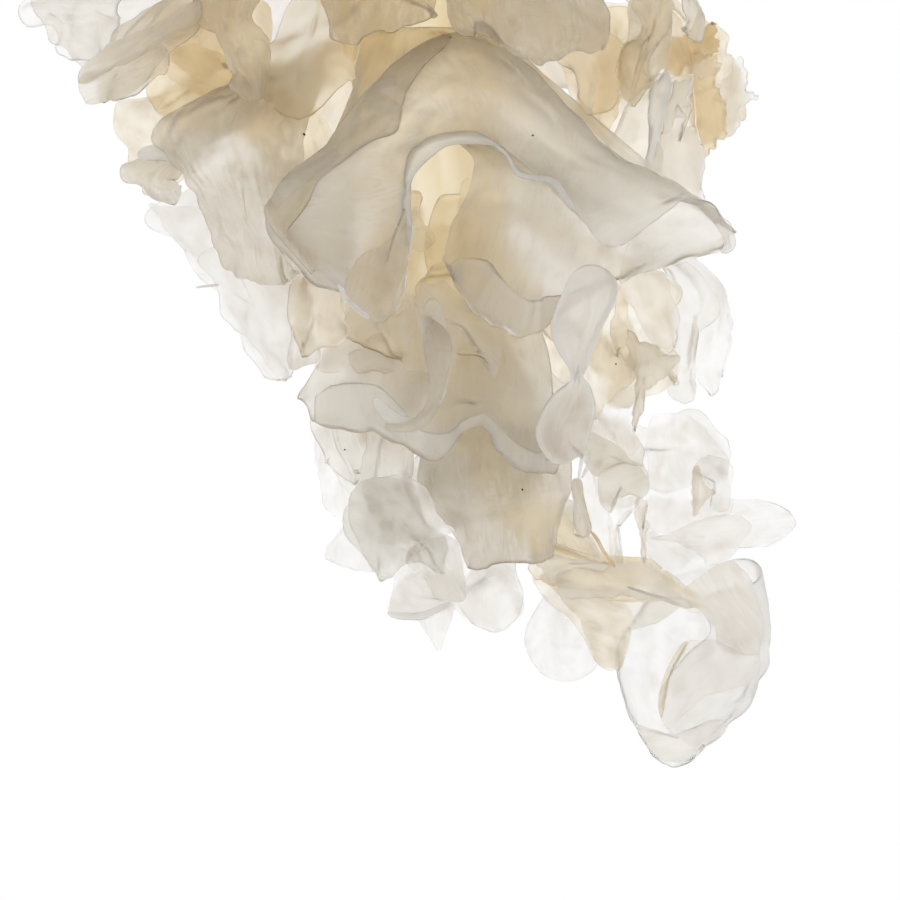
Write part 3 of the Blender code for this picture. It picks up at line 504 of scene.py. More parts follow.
def flake(name, gel, settings, *outline):  # a sheet inside an outline, side and up of each place as the photo shows it
    look = dict(plainFlake, **settings)
    seed = nextSeed()
    around, rings = look["around"], look["rings"]
    rim = closedCurve(outline, around)
    middle = rim.mean(axis=0)
    step = np.roll(rim, -1, axis=0) - np.roll(rim, 1, axis=0)
    outward = np.stack([step[:, 1], -step[:, 0]], axis=1) / np.linalg.norm(step, axis=1)[:, None]
    outward *= np.sign(np.sum(outward * (rim - middle)))
    rimFlat = withZero(rim) * mm
    bite = look["notch"] * waves(rimFlat, look["notchMm"], seed)
    bite = bite + look["nibble"] * look["notch"] * waves(rimFlat, look["nibbleMm"], seed + 3)
    if look["tear"]:
        bite = bite - look["tear"] * onlyBumps(waves(rimFlat, look["tearMm"], seed + 5), 0.2, 1.6)
    shares = 1 - (1 - np.linspace(0, 1, rings)) ** 1.5  # rings lie closer together towards the rim
    piece = newGrid(name, around, rings - 1)
    mesh = piece.data
    uv = pointUv(mesh)
    column = np.round(uv[:, 0] * around).astype(int) % around
    ring = shares[np.round(uv[:, 1] * (rings - 1)).astype(int)]
    place = middle + (rim[column] - middle) * ring[:, None] + (outward * bite[:, None])[column] * (ring**7)[:, None]
    grain = np.linalg.eigh(np.cov((rim - middle).T))[1]  # across and along the outline's longer way
    out = look["out"] + look["sideTilt"] * (place[:, 0] - middle[0]) + look["upTilt"] * (place[:, 1] - middle[1])
    out = out + look["swell"] * (1 - ring**2)
    out = out + look["lift"] * waves(rimFlat[column], look["wave"], seed + 7) * ring**3
    out = out + look["crumple"] * waves(withZero(place) * mm, look["crumpleMm"], seed + 9)
    if look["pleat"]:
        local = (place - middle) @ grain
        streak = np.column_stack([local[:, 0] / look["pleatMm"], local[:, 1] / look["pleatLength"]])
        out = out + look["pleat"] * waves(withZero(streak) * mm, 1.0, seed + 13)
    shrink = 1 - out / viewDistance
    side = viewSide + (place[:, 0] - viewSide) * shrink
    up = viewUp + (place[:, 1] - viewUp) * shrink
    write(mesh, np.column_stack([-side, -out, up]) * mm)
    bpy.ops.object.mode_set(mode="EDIT")
    bpy.ops.mesh.select_all(action="SELECT")
    bpy.ops.mesh.remove_doubles(threshold=0.000002)
    bpy.ops.mesh.normals_make_consistent(inside=False)
    bpy.ops.object.mode_set(mode="OBJECT")
    places = read(mesh, "co")
    shrink = 1 + places[:, 1] / mm / viewDistance
    seenSide = viewSide + (-places[:, 0] / mm - viewSide) / shrink
    seenUp = viewUp + (places[:, 2] / mm - viewUp) / shrink
    seenPlaces = np.column_stack([seenSide, seenUp])
    away = nearestRim(withZero(seenPlaces), withZero(rim + outward * bite[:, None]))[1]
    setGrain(mesh, (seenPlaces - middle) @ grain + seed * grainShift)
    finishSheet(piece, gel, look, away)
    return piece


def put(name, gel, settings, *rows):  # a frond in the place of its solid: rows of side, up, out, from root to rim
    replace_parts(sheet(name + "_gel", rows, gel, dict(plainRim, **settings), nextSeed()), name)


def putTraced(name, gel, settings, *outline):  # a frond whose whole edge is clear in the photo
    nextSeed()  # a frond's own seed, not used by its flake
    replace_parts(flake(name + "_gel", gel, settings, *outline), name)


def strip(name, gel, settings, *rows):  # a narrow sheet through rows of places, along its length
    sheet(name, rows, gel, dict(plainStrip, **settings), nextSeed())


# The fronds of the cluster's front, from the big arch to the two-lobed wave

put("arch_frond", grey, dict(lift=0.45, notch=0.15, crumple=0.22, pleat=0.5, lip=0.2, shade=0.05,
        slopes=(("side", 18, 30, -0.04, -0.08), ("up", 46, 36, 0.0, 0.14))),
    root(30, -48, 52, 10),
    ((-5.5, 57, 28), (-9.5, 56, 28), (-12.5, 50, 27), (-7, 44, 25), (0, 36.5, 22), (8.5, 31, 20), (17, 36.5, 18),
     (23.5, 42, 17), (29, 46.3, 18), (34.5, 48.3, 20.5)),
    ((-6.5, 60.5, 33), (-11, 59, 34), (-16.8, 51.3, 34), (-10.3, 44.6, 33), (-1, 33, 31), (9.5, 29.6, 27),
     (21.5, 38.6, 25), (26.5, 44.4, 25), (33.5, 47.6, 26), (41.7, 54.3, 28)),
    ((-4.5, 63.8, 36), (-9, 58, 38), (-12.5, 51, 38.5), (-6.5, 43.8, 37.5), (2.5, 35, 35), (11.5, 32.5, 32),
     (20, 39.5, 30), (26.5, 45.8, 30), (33.3, 48.4, 30), (39.4, 51.6, 30.6)),
    ((-2.2, 65.4, 36.5), (-3.5, 58.5, 39.5), (-4.5, 50.5, 39.5), (-2, 43.5, 38.5), (5.5, 37, 37.5),
     (13.5, 38.5, 35.5), (20, 44, 33.5), (25, 48.5, 32.8), (29.6, 51, 32.8), (34.8, 50.6, 32.8)),
    ((0.7, 63, 33), (1.3, 56.5, 33), (1.2, 49, 32.5), (2.6, 43.6, 32), (7.5, 41.6, 31.5), (13, 43.6, 31),
     (18.5, 47.6, 30), (21.5, 51.3, 30.5), (24.3, 54.6, 31), (27, 57.5, 31)))
put("inner_lip_frond", grey, dict(lift=0.7, notch=0.35, crumple=0.22, pleat=0.4, haze=-0.04, heart=0.5,
        slopes=(("side", 24, 32, -0.16, 0.0),)),
    root(42, -6, 54, 8),
    ((9, 44.5, 18), (11.5, 45, 20), (15, 46, 20.5), (19, 47.5, 19.5), (23, 49.5, 18), (28, 49.8, 17.8),
     (33.5, 49.4, 19), (38.6, 51.6, 21.5)),
    ((7.8, 50.5, 20.5), (11, 51.5, 24), (15, 52.5, 25.5), (19.5, 54, 25), (23.5, 55.5, 24), (28, 55, 22),
     (34, 54, 22.5), (40.8, 54.5, 24.5)),
    ((5.3, 57.7, 23), (8.3, 62.3, 27), (12, 65.2, 29), (16, 66.2, 28.5), (20, 64.3, 26.5), (25.5, 60, 24.2),
     (33, 57.1, 24.6), (41, 54.9, 25.3)),
    ((7.3, 56.7, 26), (10.8, 57.6, 30), (14, 60.4, 31.5), (16.8, 62.6, 31), (20.3, 61.5, 28.5), (25.6, 60.2, 26.4),
     (33, 58.5, 26), (41.6, 56.3, 26.3)))
# The ribbon's milky rim is a painted highlight
put("ribbon_frond", pale, dict(heart=0.0, lift=0.5, notch=0.3, crumple=0.15, pleat=0.2, haze=0.34, paintedRimHighlight=0.35,
        thickness=0.8, rimShare=0.9, shade=0.15, warm=0.1, slopes=(("up", 71, 77, 0.0, 0.25),)),
    ((21.3, 58.8, 31), (24, 58.2, 30.5), (26.3, 59.2, 29)), ((19.8, 63, 31), (23.5, 62.5, 31.5), (27, 61.8, 28.5)),
    ((19, 67, 28.5), (22.3, 67, 30.5), (24.8, 66, 28.5)), ((21.4, 71.8, 30), (22.2, 72, 30.6), (22.9, 71.5, 30)),
    ((18.8, 75.5, 30.5), (21.4, 75.5, 29), (23.8, 75, 31)),
    ((17.4, 79.8, 30), (20.3, 79.8, 28.6), (23.5, 79.5, 31)), ((18.8, 82.8, 30), (21, 83, 29.2), (22.9, 82.3, 30)))
put("pocket_frond", yellow, dict(heart=0.0, haze=-0.16, shade=-0.2),
    root(50, -8, 26, 4),
    ((2.5, 57, 16), (6, 57, 17.5), (9, 57, 17.5), (12.5, 58, 15.5)),
    ((2.0, 61, 20), (6, 62, 22.5), (9.5, 64, 22.5), (13, 66, 20.5)),
    ((5.0, 69, 23.5), (8, 70, 25.5), (10.5, 71.4, 25.5), (13, 71.8, 22.5)))
put("wavy_frond", grey, dict(lift=0.8, notch=0.4, pleat=0.4,
        slopes=(("side", -2, -8, -0.06, 0.0), ("up", 66, 60, -0.18, 0.0))),
    root(54, -42, 48, 7),
    ((-11.2, 72.6, 15), (-6, 71.2, 18), (0, 71.4, 19.5), (4.5, 72, 19.5), (9, 72.5, 18.5), (14, 70, 17),
     (19, 70, 15)),
    ((-12, 75.5, 18), (-5.5, 75.5, 21), (0, 76, 23), (4.5, 77, 23.5), (9.5, 75, 21.5), (14.5, 77, 19.5),
     (19.3, 77, 17)),
    ((-11, 78.2, 22), (-5, 79, 26), (0.2, 80.3, 27.5), (4.5, 82.5, 28), (9.8, 77.8, 24.5), (14.3, 82.3, 23.5),
     (19.5, 83, 20.5)),
    ((-11.6, 73.6, 25), (-6.5, 72.4, 29), (-1.5, 74, 30.5), (4, 79.2, 30.5), (9.9, 76.3, 26.5), (14.3, 79.8, 26),
     (19.2, 80.5, 22.5)))
put("curling_strip", grey, dict(lift=0.2, notch=0.15, lip=0.1, haze=0.1),
    ((2.7, 62, 27.5), (5.3, 62, 28)), ((3.2, 69, 30), (6.2, 69, 30.5)), ((3.6, 75, 33), (5.2, 75.3, 33.5)),
    ((-0.2, 78.4, 33), (0.6, 77, 34.5)), ((-4.2, 74.6, 32.5), (-3, 74.4, 33.5)))
put("left_panel_frond", yellow, dict(heart=0.4, haze=-0.06),
    root(46, -70, -44, 3), ((-8, 52, 7.5), (-6.5, 52, 9.5), (-4.5, 52, 11)),
    ((-13.8, 60.5, 18.5), (-10, 60, 20.5), (-6, 60.3, 21.5)),
    ((-14.2, 70.5, 20.5), (-10.5, 69.5, 22.5), (-5.7, 68, 23.5)))
put("inner_petal", yellow, dict(heart=0.0, haze=-0.14),
    root(49.5, -38, -12, 3), ((-3, 55, 10.5), (-1, 55, 12), (1, 55, 12.5)),
    ((-6, 61, 16.5), (-2.5, 62, 18.5), (1.5, 62, 18)), ((-6.6, 69.3, 20), (-3, 69.6, 22.5), (0.8, 71.3, 24)))
print("stage: middle fronds")


# The wrinkled frond at the left and the paler ones beside and behind it

put("wrinkled_frond", grey, dict(lift=0.8, notch=0.5, pleat=0.32, pleatMm=0.85, fineLevels=5, crumple=0.35,
        shade=0.22, warm=0.2, slopes=(("up", 46, 38, 0.0, 0.14), ("up", 37, 32, -0.14, -0.2))),
    root(30, -98, -58, 5),
    ((-27.5, 38.5, 13), (-24, 37.5, 15.5), (-20, 37.2, 17.5), (-15.5, 37.3, 18), (-11, 39, 16.5)),
    ((-30.8, 43.2, 15), (-26.5, 43, 19.5), (-21.5, 43.5, 22), (-17, 44, 22.3), (-12.5, 45, 19.5)),
    ((-25, 48.7, 19), (-22.5, 49.5, 23), (-19.5, 50, 25), (-16, 50.5, 24.8), (-13, 51, 21.5)),
    ((-22.6, 55, 19.5), (-20, 55.5, 23.5), (-17.5, 56, 25.7), (-15, 56, 25.7), (-12.5, 56, 22.5)),
    ((-20.8, 58.7, 20.5), (-18.7, 60, 23.5), (-16.3, 60.6, 25.5), (-14.3, 60.5, 25.5), (-12, 59.5, 23)))
put("left_shoulder_frond", yellow, dict(heart=0.0, haze=-0.16, shade=-0.2),
    root(22, -62, -26, 4),
    ((-17.5, 31, 16), (-12.5, 31, 18.5), (-8, 30, 19.5), (-4.5, 29, 19.5)),
    ((-17.2, 38, 20.5), (-13, 40, 21), (-9.5, 38.5, 21), (-6, 34.5, 20.5)))
put("left_pale_frond", pale, dict(),
    root(42, -112, -76, 4),
    ((-31.2, 50.6, 2.5), (-26.5, 50.5, 4), (-22, 51.5, 7), (-17, 52, 9.5)),
    ((-26.3, 56.8, 3), (-22.5, 57.5, 7.5), (-18, 58.5, 10.5), (-13, 59.5, 12.5)),
    ((-22.6, 61.5, 5), (-19.3, 63.5, 9.5), (-16.5, 64.5, 12.5), (-13.3, 65, 14.5)),
    ((-19, 69.5, 7.5), (-17, 73, 10.5), (-15, 73.3, 13.5), (-13, 71.5, 15.5)))
put("left_back_frond", yellow, dict(warm=0.2),
    root(30, -128, -98, 3), ((-31, 36, -5), (-27, 36.5, -0.5), (-22, 37, 3)),
    ((-35, 42.3, -5), (-30.5, 42.6, 0), (-25, 41, 2.5)), ((-32.3, 48.6, -4), (-29.5, 49.3, -1), (-25.5, 46.5, 2.5)))
put("left_small_lobe", grey, dict(shade=0.2),
    root(34, -94, -75, 3), ((-32.8, 44.6, 8.5), (-29.5, 44.6, 11.5), (-26.5, 45, 14)),
    ((-30.4, 49.2, 9.5), (-28.3, 50.6, 12), (-25.8, 48.5, 14)))
put("lower_left_petal", pale, dict(haze=-0.04),
    root(66, -112, -76, 3), ((-4, 72, -2), (-3.5, 72, 1), (-3, 72, 3)),
    ((-10.6, 77.5, 3), (-7.5, 78, 6), (-5, 79, 8)), ((-9, 83, 6), (-6.3, 85.8, 8), (-3.8, 84.6, 9.5)))
print("stage: left fronds")


# The outermost fronds, rooted nearest the foot, whose rims lie over the others

put("left_tongue_frond", grey, dict(warm=0.8, haze=0.04, shade=0.3),
    root(12, -65, -38, 4),
    ((-25.5, 25.5, 17), (-22.5, 25, 20), (-20, 25, 21.5), (-17.5, 25, 22)),
    ((-23, 31, 19), (-20.5, 31, 22), (-18.5, 31, 23.5), (-16.3, 30, 23.5)),
    ((-20, 36, 20), (-18.7, 37.8, 21.5), (-17.7, 37.8, 22.5), (-16.3, 36, 23)))
put("beige_frond", pale, dict(warm=0.9, haze=0.1, shade=0.2),
    root(12, -100, -72, 4),
    ((-30, 26, 3), (-28.5, 24.5, 8), (-26.5, 23.5, 12), (-24, 22.5, 14)),
    ((-35.3, 31, 5), (-33, 30.5, 10), (-30, 29.5, 14), (-26.5, 27.5, 17)),
    ((-39.8, 35.5, 6), (-37, 37.8, 11), (-33, 36, 14.5), (-28, 31.5, 17.5)))
put("tan_left_frond", yellow, dict(shade=0.15),
    root(16, -96, -66, 3), ((-28, 27.5, 3.5), (-24.5, 27.5, 6.5), (-20, 27.5, 9)),
    ((-29.5, 32.5, 5), (-25.3, 34.8, 7.5), (-19.5, 34.5, 9.5)))
put("far_left_frond", pale, dict(haze=-0.1, heart=0.0),
    root(8, -118, -92, 3), ((-45, 24, -8), (-40, 23, -2), (-33, 23, 4)),
    ((-44.6, 27.5, -7), (-40, 28, -1), (-34, 27, 5)), ((-43.3, 30.6, -6), (-40.3, 33.3, -1), (-35.5, 30, 5)))
put("top_left_lobe", grey, dict(warm=0.7, shade=0.35),
    root(12, -30, 4, 4),
    ((-9.8, 24, 26.5), (-5.5, 24, 30), (0, 23, 32), (5, 23, 31.5)),
    ((-8.6, 30, 30), (-5, 30.8, 33.5), (-0.5, 29.4, 35.5), (5, 27.6, 34.5)))
put("top_grey_lobe", grey, dict(shade=0.5, haze=0.05, warm=0.2),
    root(12, 9, 54, 5),
    ((6.3, 25.5, 31.5), (10.5, 26, 34.5), (15.5, 26, 35), (20.5, 26, 33), (25.7, 26, 28.5)),
    ((8, 30, 33.5), (12.5, 31.2, 36.5), (16.5, 33, 37), (21, 33.6, 34.5), (25, 29.8, 31)))
put("right_tongue_frond", yellow, dict(shade=0.1, haze=-0.08, heart=0.3),
    root(14, 60, 84, 3), ((28, 25, 15), (30.7, 25, 16), (33.6, 25.5, 13)),
    ((27.5, 32, 17), (29.8, 32.3, 18), (32.6, 31, 16)), ((27.8, 37.6, 17), (29.5, 38.4, 17.5), (31.8, 35, 17)))
put("right_top_lobe", grey, dict(warm=0.3, haze=-0.04),
    root(9, 70, 94, 3), ((34.5, 23, 8), (36, 23, 5), (37, 23, 1)),
    ((33.8, 28.6, 9), (35.3, 30, 7), (36.4, 28.3, 4)))
print("stage: top fronds")


# The layered cream fronds down the right, the pointed petal and the rough edge

put("right_shoulder_frond", yellow, dict(heart=0.0, haze=-0.16, shade=-0.2),
    root(21, 34, 72, 4),
    ((18, 30, 16), (21, 30, 15.5), (24.5, 30, 14), (27, 30, 11.5)),
    ((22.3, 38, 20.5), (24.3, 39.4, 18), (26.2, 39.6, 15), (28, 37, 12.5)))
# The petal's milky rim is a painted highlight
put("pointed_petal", pale, dict(heart=0.0, lift=0.4, notch=0.3, haze=-0.03, paintedRimHighlight=0.3, pleat=0.4),
    root(43, 74, 100, 3), ((20, 44.5, 6), (21.5, 46, 4), (23, 47.5, 1)),
    ((25, 43.8, 10), (28.4, 45.8, 12), (31.6, 46, 10)), ((27.8, 38.8, 12.5), (30.4, 39.2, 14.5), (33, 39.6, 12.5)),
    ((31.9, 34.9, 14), (33, 34, 14.4), (34.1, 34.7, 14)))
putTraced("right_ragged_frond", pale, dict(out=7.5, sideTilt=-0.4, upTilt=-0.1, swell=0.8, tear=0.4, haze=0.05,
        pleat=0.2),
    (32.2, 36.5), (33.4, 35.4), (34.6, 34.6), (36.8, 34.5), (36.2, 37.4), (36.8, 38), (35.6, 39.6), (35.2, 41),
    (36.8, 41.2), (37.4, 43.2), (38.1, 44.5), (37.8, 47), (38.2, 49.6), (38, 51), (34, 50), (31.5, 47.5),
    (31.8, 42.5))
put("rough_edge_frond", yellow, dict(tear=1.6, warm=0.45, haze=0.04, crumple=0.5),
    root(10, 102, 128, 3), ((33, 27.5, -16), (35.5, 27, -19), (38, 27, -22)),
    ((35, 36, -17), (38.5, 34, -20), (41, 31, -23)), ((38, 44.5, -16), (41.5, 42.5, -19), (45.3, 37, -21)))
put("cream_frond", yellow, dict(heart=0.2, warm=0.05, haze=-0.05),
    root(50.5, 40, 82, 4),
    ((25.5, 61, 12), (28.5, 60.5, 13), (31.5, 59.5, 12), (34, 59.8, 9)),
    ((25.5, 65.5, 15), (28.5, 66, 16.5), (32, 66, 16), (35, 64.5, 12.5)),
    ((26.3, 70, 16.5), (29, 71.3, 18), (31.7, 70.5, 17), (34.2, 69.2, 14.5)))
put("right_outer_frond", pale, dict(warm=0.25, tear=0.4, haze=0.02),
    root(46, 78, 104, 3), ((32, 58.3, 6), (34.5, 58.3, 3), (37, 58.5, -1)),
    ((34, 66, 6), (36.4, 66.5, 4), (38.9, 67, 0)), ((33.3, 74.5, 3), (35.4, 75.8, 1), (37, 73.5, -1.5)))
put("right_pale_frond", pale, dict(tear=0.3, haze=-0.06),
    root(42, 98, 126, 3), ((35, 58.5, -6), (37.3, 58, -9.5), (39, 59.5, -13)),
    ((37, 66, -4), (39.8, 65, -7.5), (41.2, 68, -11)), ((37.3, 74.5, -4), (39, 74.7, -6), (41, 72, -9)))
put("brown_fold_frond", yellow, dict(),
    root(58, 50, 90, 3), ((18.5, 65, 5.5), (20.5, 65, 3), (22, 65, 0.5)),
    ((23.7, 71, 10), (28.5, 70, 11), (34, 69.7, 8.5)), ((24.5, 76.5, 11), (29.5, 75.5, 13), (34.7, 72.8, 10)))
put("window_petal", pale, dict(warm=0.2, shade=0.1),
    root(69, 50, 80, 3), ((19, 75.5, 6), (21.5, 75, 4.5), (23.5, 75, 2.5)),
    ((23.2, 80.5, 11), (26.5, 79.5, 12), (30.5, 80.5, 9.5)), ((23.6, 87.5, 13), (27.5, 88.5, 13), (31, 86.8, 11)))
put("right_arch_petal", pale, dict(haze=-0.04),
    rootLine(86, 75, 81, 3), ((24, 76.5, 0), (24.5, 79.5, 2.5), (25, 82.5, 1.5)),
    ((31, 78, 4), (31.5, 81.5, 7), (31, 85.4, 5.5)), ((35.5, 75.8, 5), (36.7, 81, 9), (36.7, 86, 6)),
    ((39.6, 79, 5), (41.2, 82, 6), (41.2, 84.7, 5.5)))
put("right_arm_frond", pale, dict(haze=-0.03, lift=0.6, notch=0.5),
    ((30.4, 87, 3), (30.2, 90, 4), (30.6, 93, 4), (32.5, 96.7, 2)),
    ((33.5, 86.8, 4.5), (34, 90, 6.5), (34.5, 93.5, 6), (35.5, 96, 3.5)),
    ((37.7, 86.9, 4), (38.5, 89.6, 6), (39.5, 92, 5.5), (40, 94.3, 3)),
    ((45.5, 87.5, 7), (48.5, 88.6, 8), (49.8, 90.8, 7.5), (46.5, 93.6, 6)))
print("stage: right fronds")


# The small fronds round the stalk's end, and the cup that hangs open at the tip

put("lower_frond", grey, dict(lift=0.8, notch=0.5, shade=0.38, heart=0.7, slopes=(("up", 91, 86, 0.0, -0.08),)),
    root(68, -8, 40, 6),
    ((2.2, 84.5, 14), (6, 84, 17.5), (10, 82.5, 19.5), (14, 81.5, 19.5), (18, 82.5, 17.5), (22, 83.5, 14)),
    ((5.3, 90, 16), (8, 89.5, 20), (11.5, 89, 22), (15, 88.5, 22.5), (18.5, 88.5, 20.5), (20, 88.6, 17)),
    ((7.3, 96.3, 18), (9.5, 96.3, 22), (12.5, 96.1, 24), (15.5, 95.8, 24.5), (18, 95.3, 23), (19.2, 94.2, 19)))
put("lower_left_lobe", grey, dict(shade=0.1),
    root(70, -60, -28, 4),
    ((-3.5, 77.5, 9), (-1.5, 77.5, 11.5), (0.5, 77.5, 13), (2.5, 77.5, 13.2)),
    ((-5.8, 85.5, 13), (-2.5, 84, 17.5), (1, 84.8, 20), (3.7, 88, 20)),
    ((-6.6, 89.5, 15), (-3, 90.5, 20), (1.8, 91, 22.5), (5.9, 91.5, 22)),
    ((-4.6, 95, 16), (-2, 98, 19.5), (1.5, 96, 22), (6.4, 99, 23)))
put("pale_left_lobe", pale, dict(),
    root(80, -78, -42, 3), ((-0.5, 86, 5.5), (1, 86, 6.8), (3, 86, 7.5)),
    ((-8.2, 91, 9), (-5, 91.3, 11), (-1, 92, 12)), ((-9.6, 95.5, 10), (-5.5, 96.4, 13), (-2, 98, 14)))
putTraced("spike_petal", pale, dict(out=15.5, upTilt=0.1, swell=0.8, notch=0.1, shade=0.1),
    (-0.7, 99), (0.5, 97.4), (3, 96.6), (6.5, 97), (7, 99.5), (6.7, 101.4), (6.2, 103), (5.3, 105.4), (4.8, 106.2),
    (4.2, 105.3), (3, 103.8), (2, 102.2), (0, 101.8), (-1.2, 101.4))
put("bottom_petal", pale, dict(lift=0.5, notch=0.3),
    root(84, 6, 44, 3), ((11.5, 93, 8), (13, 93, 8.5), (14.5, 93, 8)),
    ((7.6, 98.5, 14), (11, 97.5, 17), (15.2, 97.5, 14)), ((7.6, 101.8, 15), (11.8, 104.3, 18), (15.3, 102.2, 15.5)))
put("round_lobe", pale, dict(lift=0.3, notch=0.1),
    ((18.5, 98.3, 1.5), (21, 99, 2), (23.5, 99.8, 2.5)), ((16.5, 102.5, 3), (20, 102, 5.5), (24, 102.5, 5.5)),
    ((15.9, 106, 4), (20, 105.5, 7), (25, 105.5, 7)), ((17.8, 109.2, 5), (21, 110.2, 7), (25, 109, 6.5)))
put("tan_lobe", yellow, dict(heart=0.0, lift=0.2, lip=0.0, notch=0.1, haze=-0.1),
    ((16, 95.6, 5.2), (20.5, 97.4, 6.2), (25.3, 99.3, 7.2)), ((17.5, 99, 8.5), (22, 100.3, 11), (28.3, 101, 11)),
    ((21.7, 102.7, 10.5), (25, 103.8, 13), (29, 103.5, 13)),
    ((24.6, 108, 12), (26.3, 109, 13.5), (28.1, 108, 13.5)))
put("tip_bridge_frond", yellow, dict(heart=0.0, lift=0.6, notch=0.5, tear=0.5, haze=-0.09, shade=0.05),
    ((17, 91.2, 5.6), (19, 92.8, 6.4), (21.5, 94.4, 7), (24.5, 95.8, 7.2), (27, 96.8, 7.6), (29.6, 97.6, 8)),
    ((15.3, 94.4, 13), (20, 93.9, 14.5), (25, 95.3, 14), (30.5, 94.9, 13), (34, 97.3, 13), (37.8, 100.4, 14)),
    ((16.6, 97.6, 14.5), (21, 98.8, 16), (25, 99.8, 16), (29, 100.6, 15), (33, 100.6, 14.5), (37.2, 102.2, 14.5)))
put("tip_cup_frond", pale, dict(lift=0.6, notch=0.3, crumple=0.3, pleat=0.3),
    ((31.6, 99.2, 6.3), (33.5, 97.5, 3.5), (39, 95.6, 1.5), (43.7, 95, 6), (44.8, 97.6, 12), (40.5, 98.7, 16),
     (36.2, 100.6, 18)),
    ((27.6, 105, 10), (31, 105, 5), (37, 105, 1), (43.9, 104, 3), (46.2, 105, 10), (42.3, 104, 17),
     (38.8, 103.8, 19)),
    ((26.6, 109.8, 11), (31, 110.5, 6), (36.5, 111, 3), (42.5, 110.4, 5), (44.8, 110.4, 11), (40.5, 109.5, 17.5),
     (35, 107.4, 19.5)),
    ((29.3, 115.4, 11), (32, 116.4, 8), (35.5, 117, 6.5), (39.4, 116, 8), (41.6, 115, 12), (38, 114.3, 16.5),
     (32.6, 112.8, 18.5)),
    ((31.9, 120, 12), (33, 120.9, 11), (34.7, 121.1, 11), (36.8, 119.8, 11.5), (38, 118.4, 13), (36, 118, 15.5),
     (33.4, 116.4, 17)))
print("stage: tip fronds")


# Ruffled fans that fill the back and the skirt just above the foot, tier by tier

fanShape = dict(rows=(0.0, 0.55, 1.0), columns=6, waves=2.3, waveHeight=4.0, notch=0.07, rootShare=0.5, corner=0.14)
fanTiers = (  # up, first azimuth, how many, azimuth step, spread, reach, rise, gel
    (5.0, 20.0, 4, 90.0, 86.0, 41.0, 8.0, grey),
    (15.0, 150.0, 2, 62.0, 58.0, 42.0, 18.0, pale),
    (26.0, 151.0, 2, 58.0, 54.0, 37.0, 22.0, yellow),
    (38.0, 152.0, 2, 56.0, 52.0, 31.0, 24.0, pale),
    (50.0, 152.0, 2, 56.0, 52.0, 25.0, 22.0, yellow),
    (62.0, 151.0, 2, 58.0, 54.0, 19.0, 20.0, pale),
    (75.0, 176.0, 1, 66.0, 80.0, 14.0, 17.0, grey),
)
fanSettings = {  # by the fan's number
    5: dict(warm=1.0, shade=0.25),
    6: dict(haze=-0.04),
    8: dict(haze=-0.06),
    9: dict(warm=0.4, shade=0.05),
    10: dict(warm=0.3, shade=0.45),
    11: dict(warm=0.3),
    13: dict(heart=0.5, haze=-0.06),
    14: dict(warm=0.5, shade=0.6, haze=0.03),
}


def fan(up, azimuth, spread, reach, rise, seed):
    phase = random.Random(seed).uniform(0.0, math.tau)
    middleSide, middleOut, radius = stalkAt(up)
    start = radius + solidThickness / 2 + jointGap
    last, share = fanShape["columns"] - 1, fanShape["rootShare"]
    cage = []
    for along in fanShape["rows"]:
        row = []
        for column in range(last + 1):
            across = 2.0 * column / last - 1.0
            widen = share + (1.0 - share) * along**0.7
            angle = math.radians(azimuth + across * spread / 2 * widen)
            turn = math.pi * fanShape["waves"] * (across + 1.0) + phase
            lobed = 1.0 - fanShape["corner"] * across**4 + fanShape["notch"] * math.cos(turn) * along
            distance = start + (reach * lobed - start) * along
            height = up + rise * along**1.3 + fanShape["waveHeight"] * math.sin(turn) * along**1.5
            out = middleOut + distance * math.cos(angle)
            row.append(world(middleSide + distance * math.sin(angle), height, out))
        cage.append(row)
    return cage


made = 0
for up, first, count, step, spread, reach, rise, gel in fanTiers:
    for place in range(count):
        made += 1
        cage = fan(up, first + step * place, spread, reach, rise, made)
        put(f"back_frond_{made:02d}", gel, dict(fanSettings.get(made, {}), fineLevels=3), *cage)
print("stage: back fans")


# The arch's folded left side, its rolled rim and the leaves in its opening

strip("arch_fold", grey, dict(lift=0.2, notch=0.2, pleat=0.1, warm=0.9, haze=0.04, shade=0.12, crumple=0.18),
    ((-11, 59.2, 35.2), (-10.8, 59.1, 37), (-10.6, 58.9, 38.6)),
    ((-14.8, 55, 35), (-14, 55.4, 37.6), (-13.3, 55.6, 39.6)),
    ((-16.9, 51.6, 34.8), (-15.6, 52.8, 37.8), (-14.1, 53.9, 39.9)),
    ((-15.6, 49.2, 34.8), (-14, 50.4, 37.8), (-12.2, 51.6, 39.9)),
    ((-13.2, 46.3, 34.4), (-12, 47.4, 37.4), (-10.8, 48.6, 39.6)),
    ((-10.5, 45, 34), (-10, 46, 36.6), (-9.6, 46.9, 39)),
    ((-9, 42.6, 33.6), (-7.8, 43.8, 36.8), (-6.6, 44.9, 39)),
    ((-6, 38.6, 32.8), (-4.5, 40.5, 36.6), (-3, 42.4, 39.2)),
    ((-3.6, 35.8, 32), (-2, 38.6, 36), (-0.3, 41.4, 39.2)),
    ((-1, 33.2, 31.6), (-0.3, 35.4, 34.8), (0.4, 37.6, 37.6)),
    ((2, 31, 30.4), (2.2, 32.5, 33), (2.4, 34, 35.4)),
    ((6, 28.6, 28.4), (6.2, 29.4, 29.8), (6.5, 30.3, 31.4)))
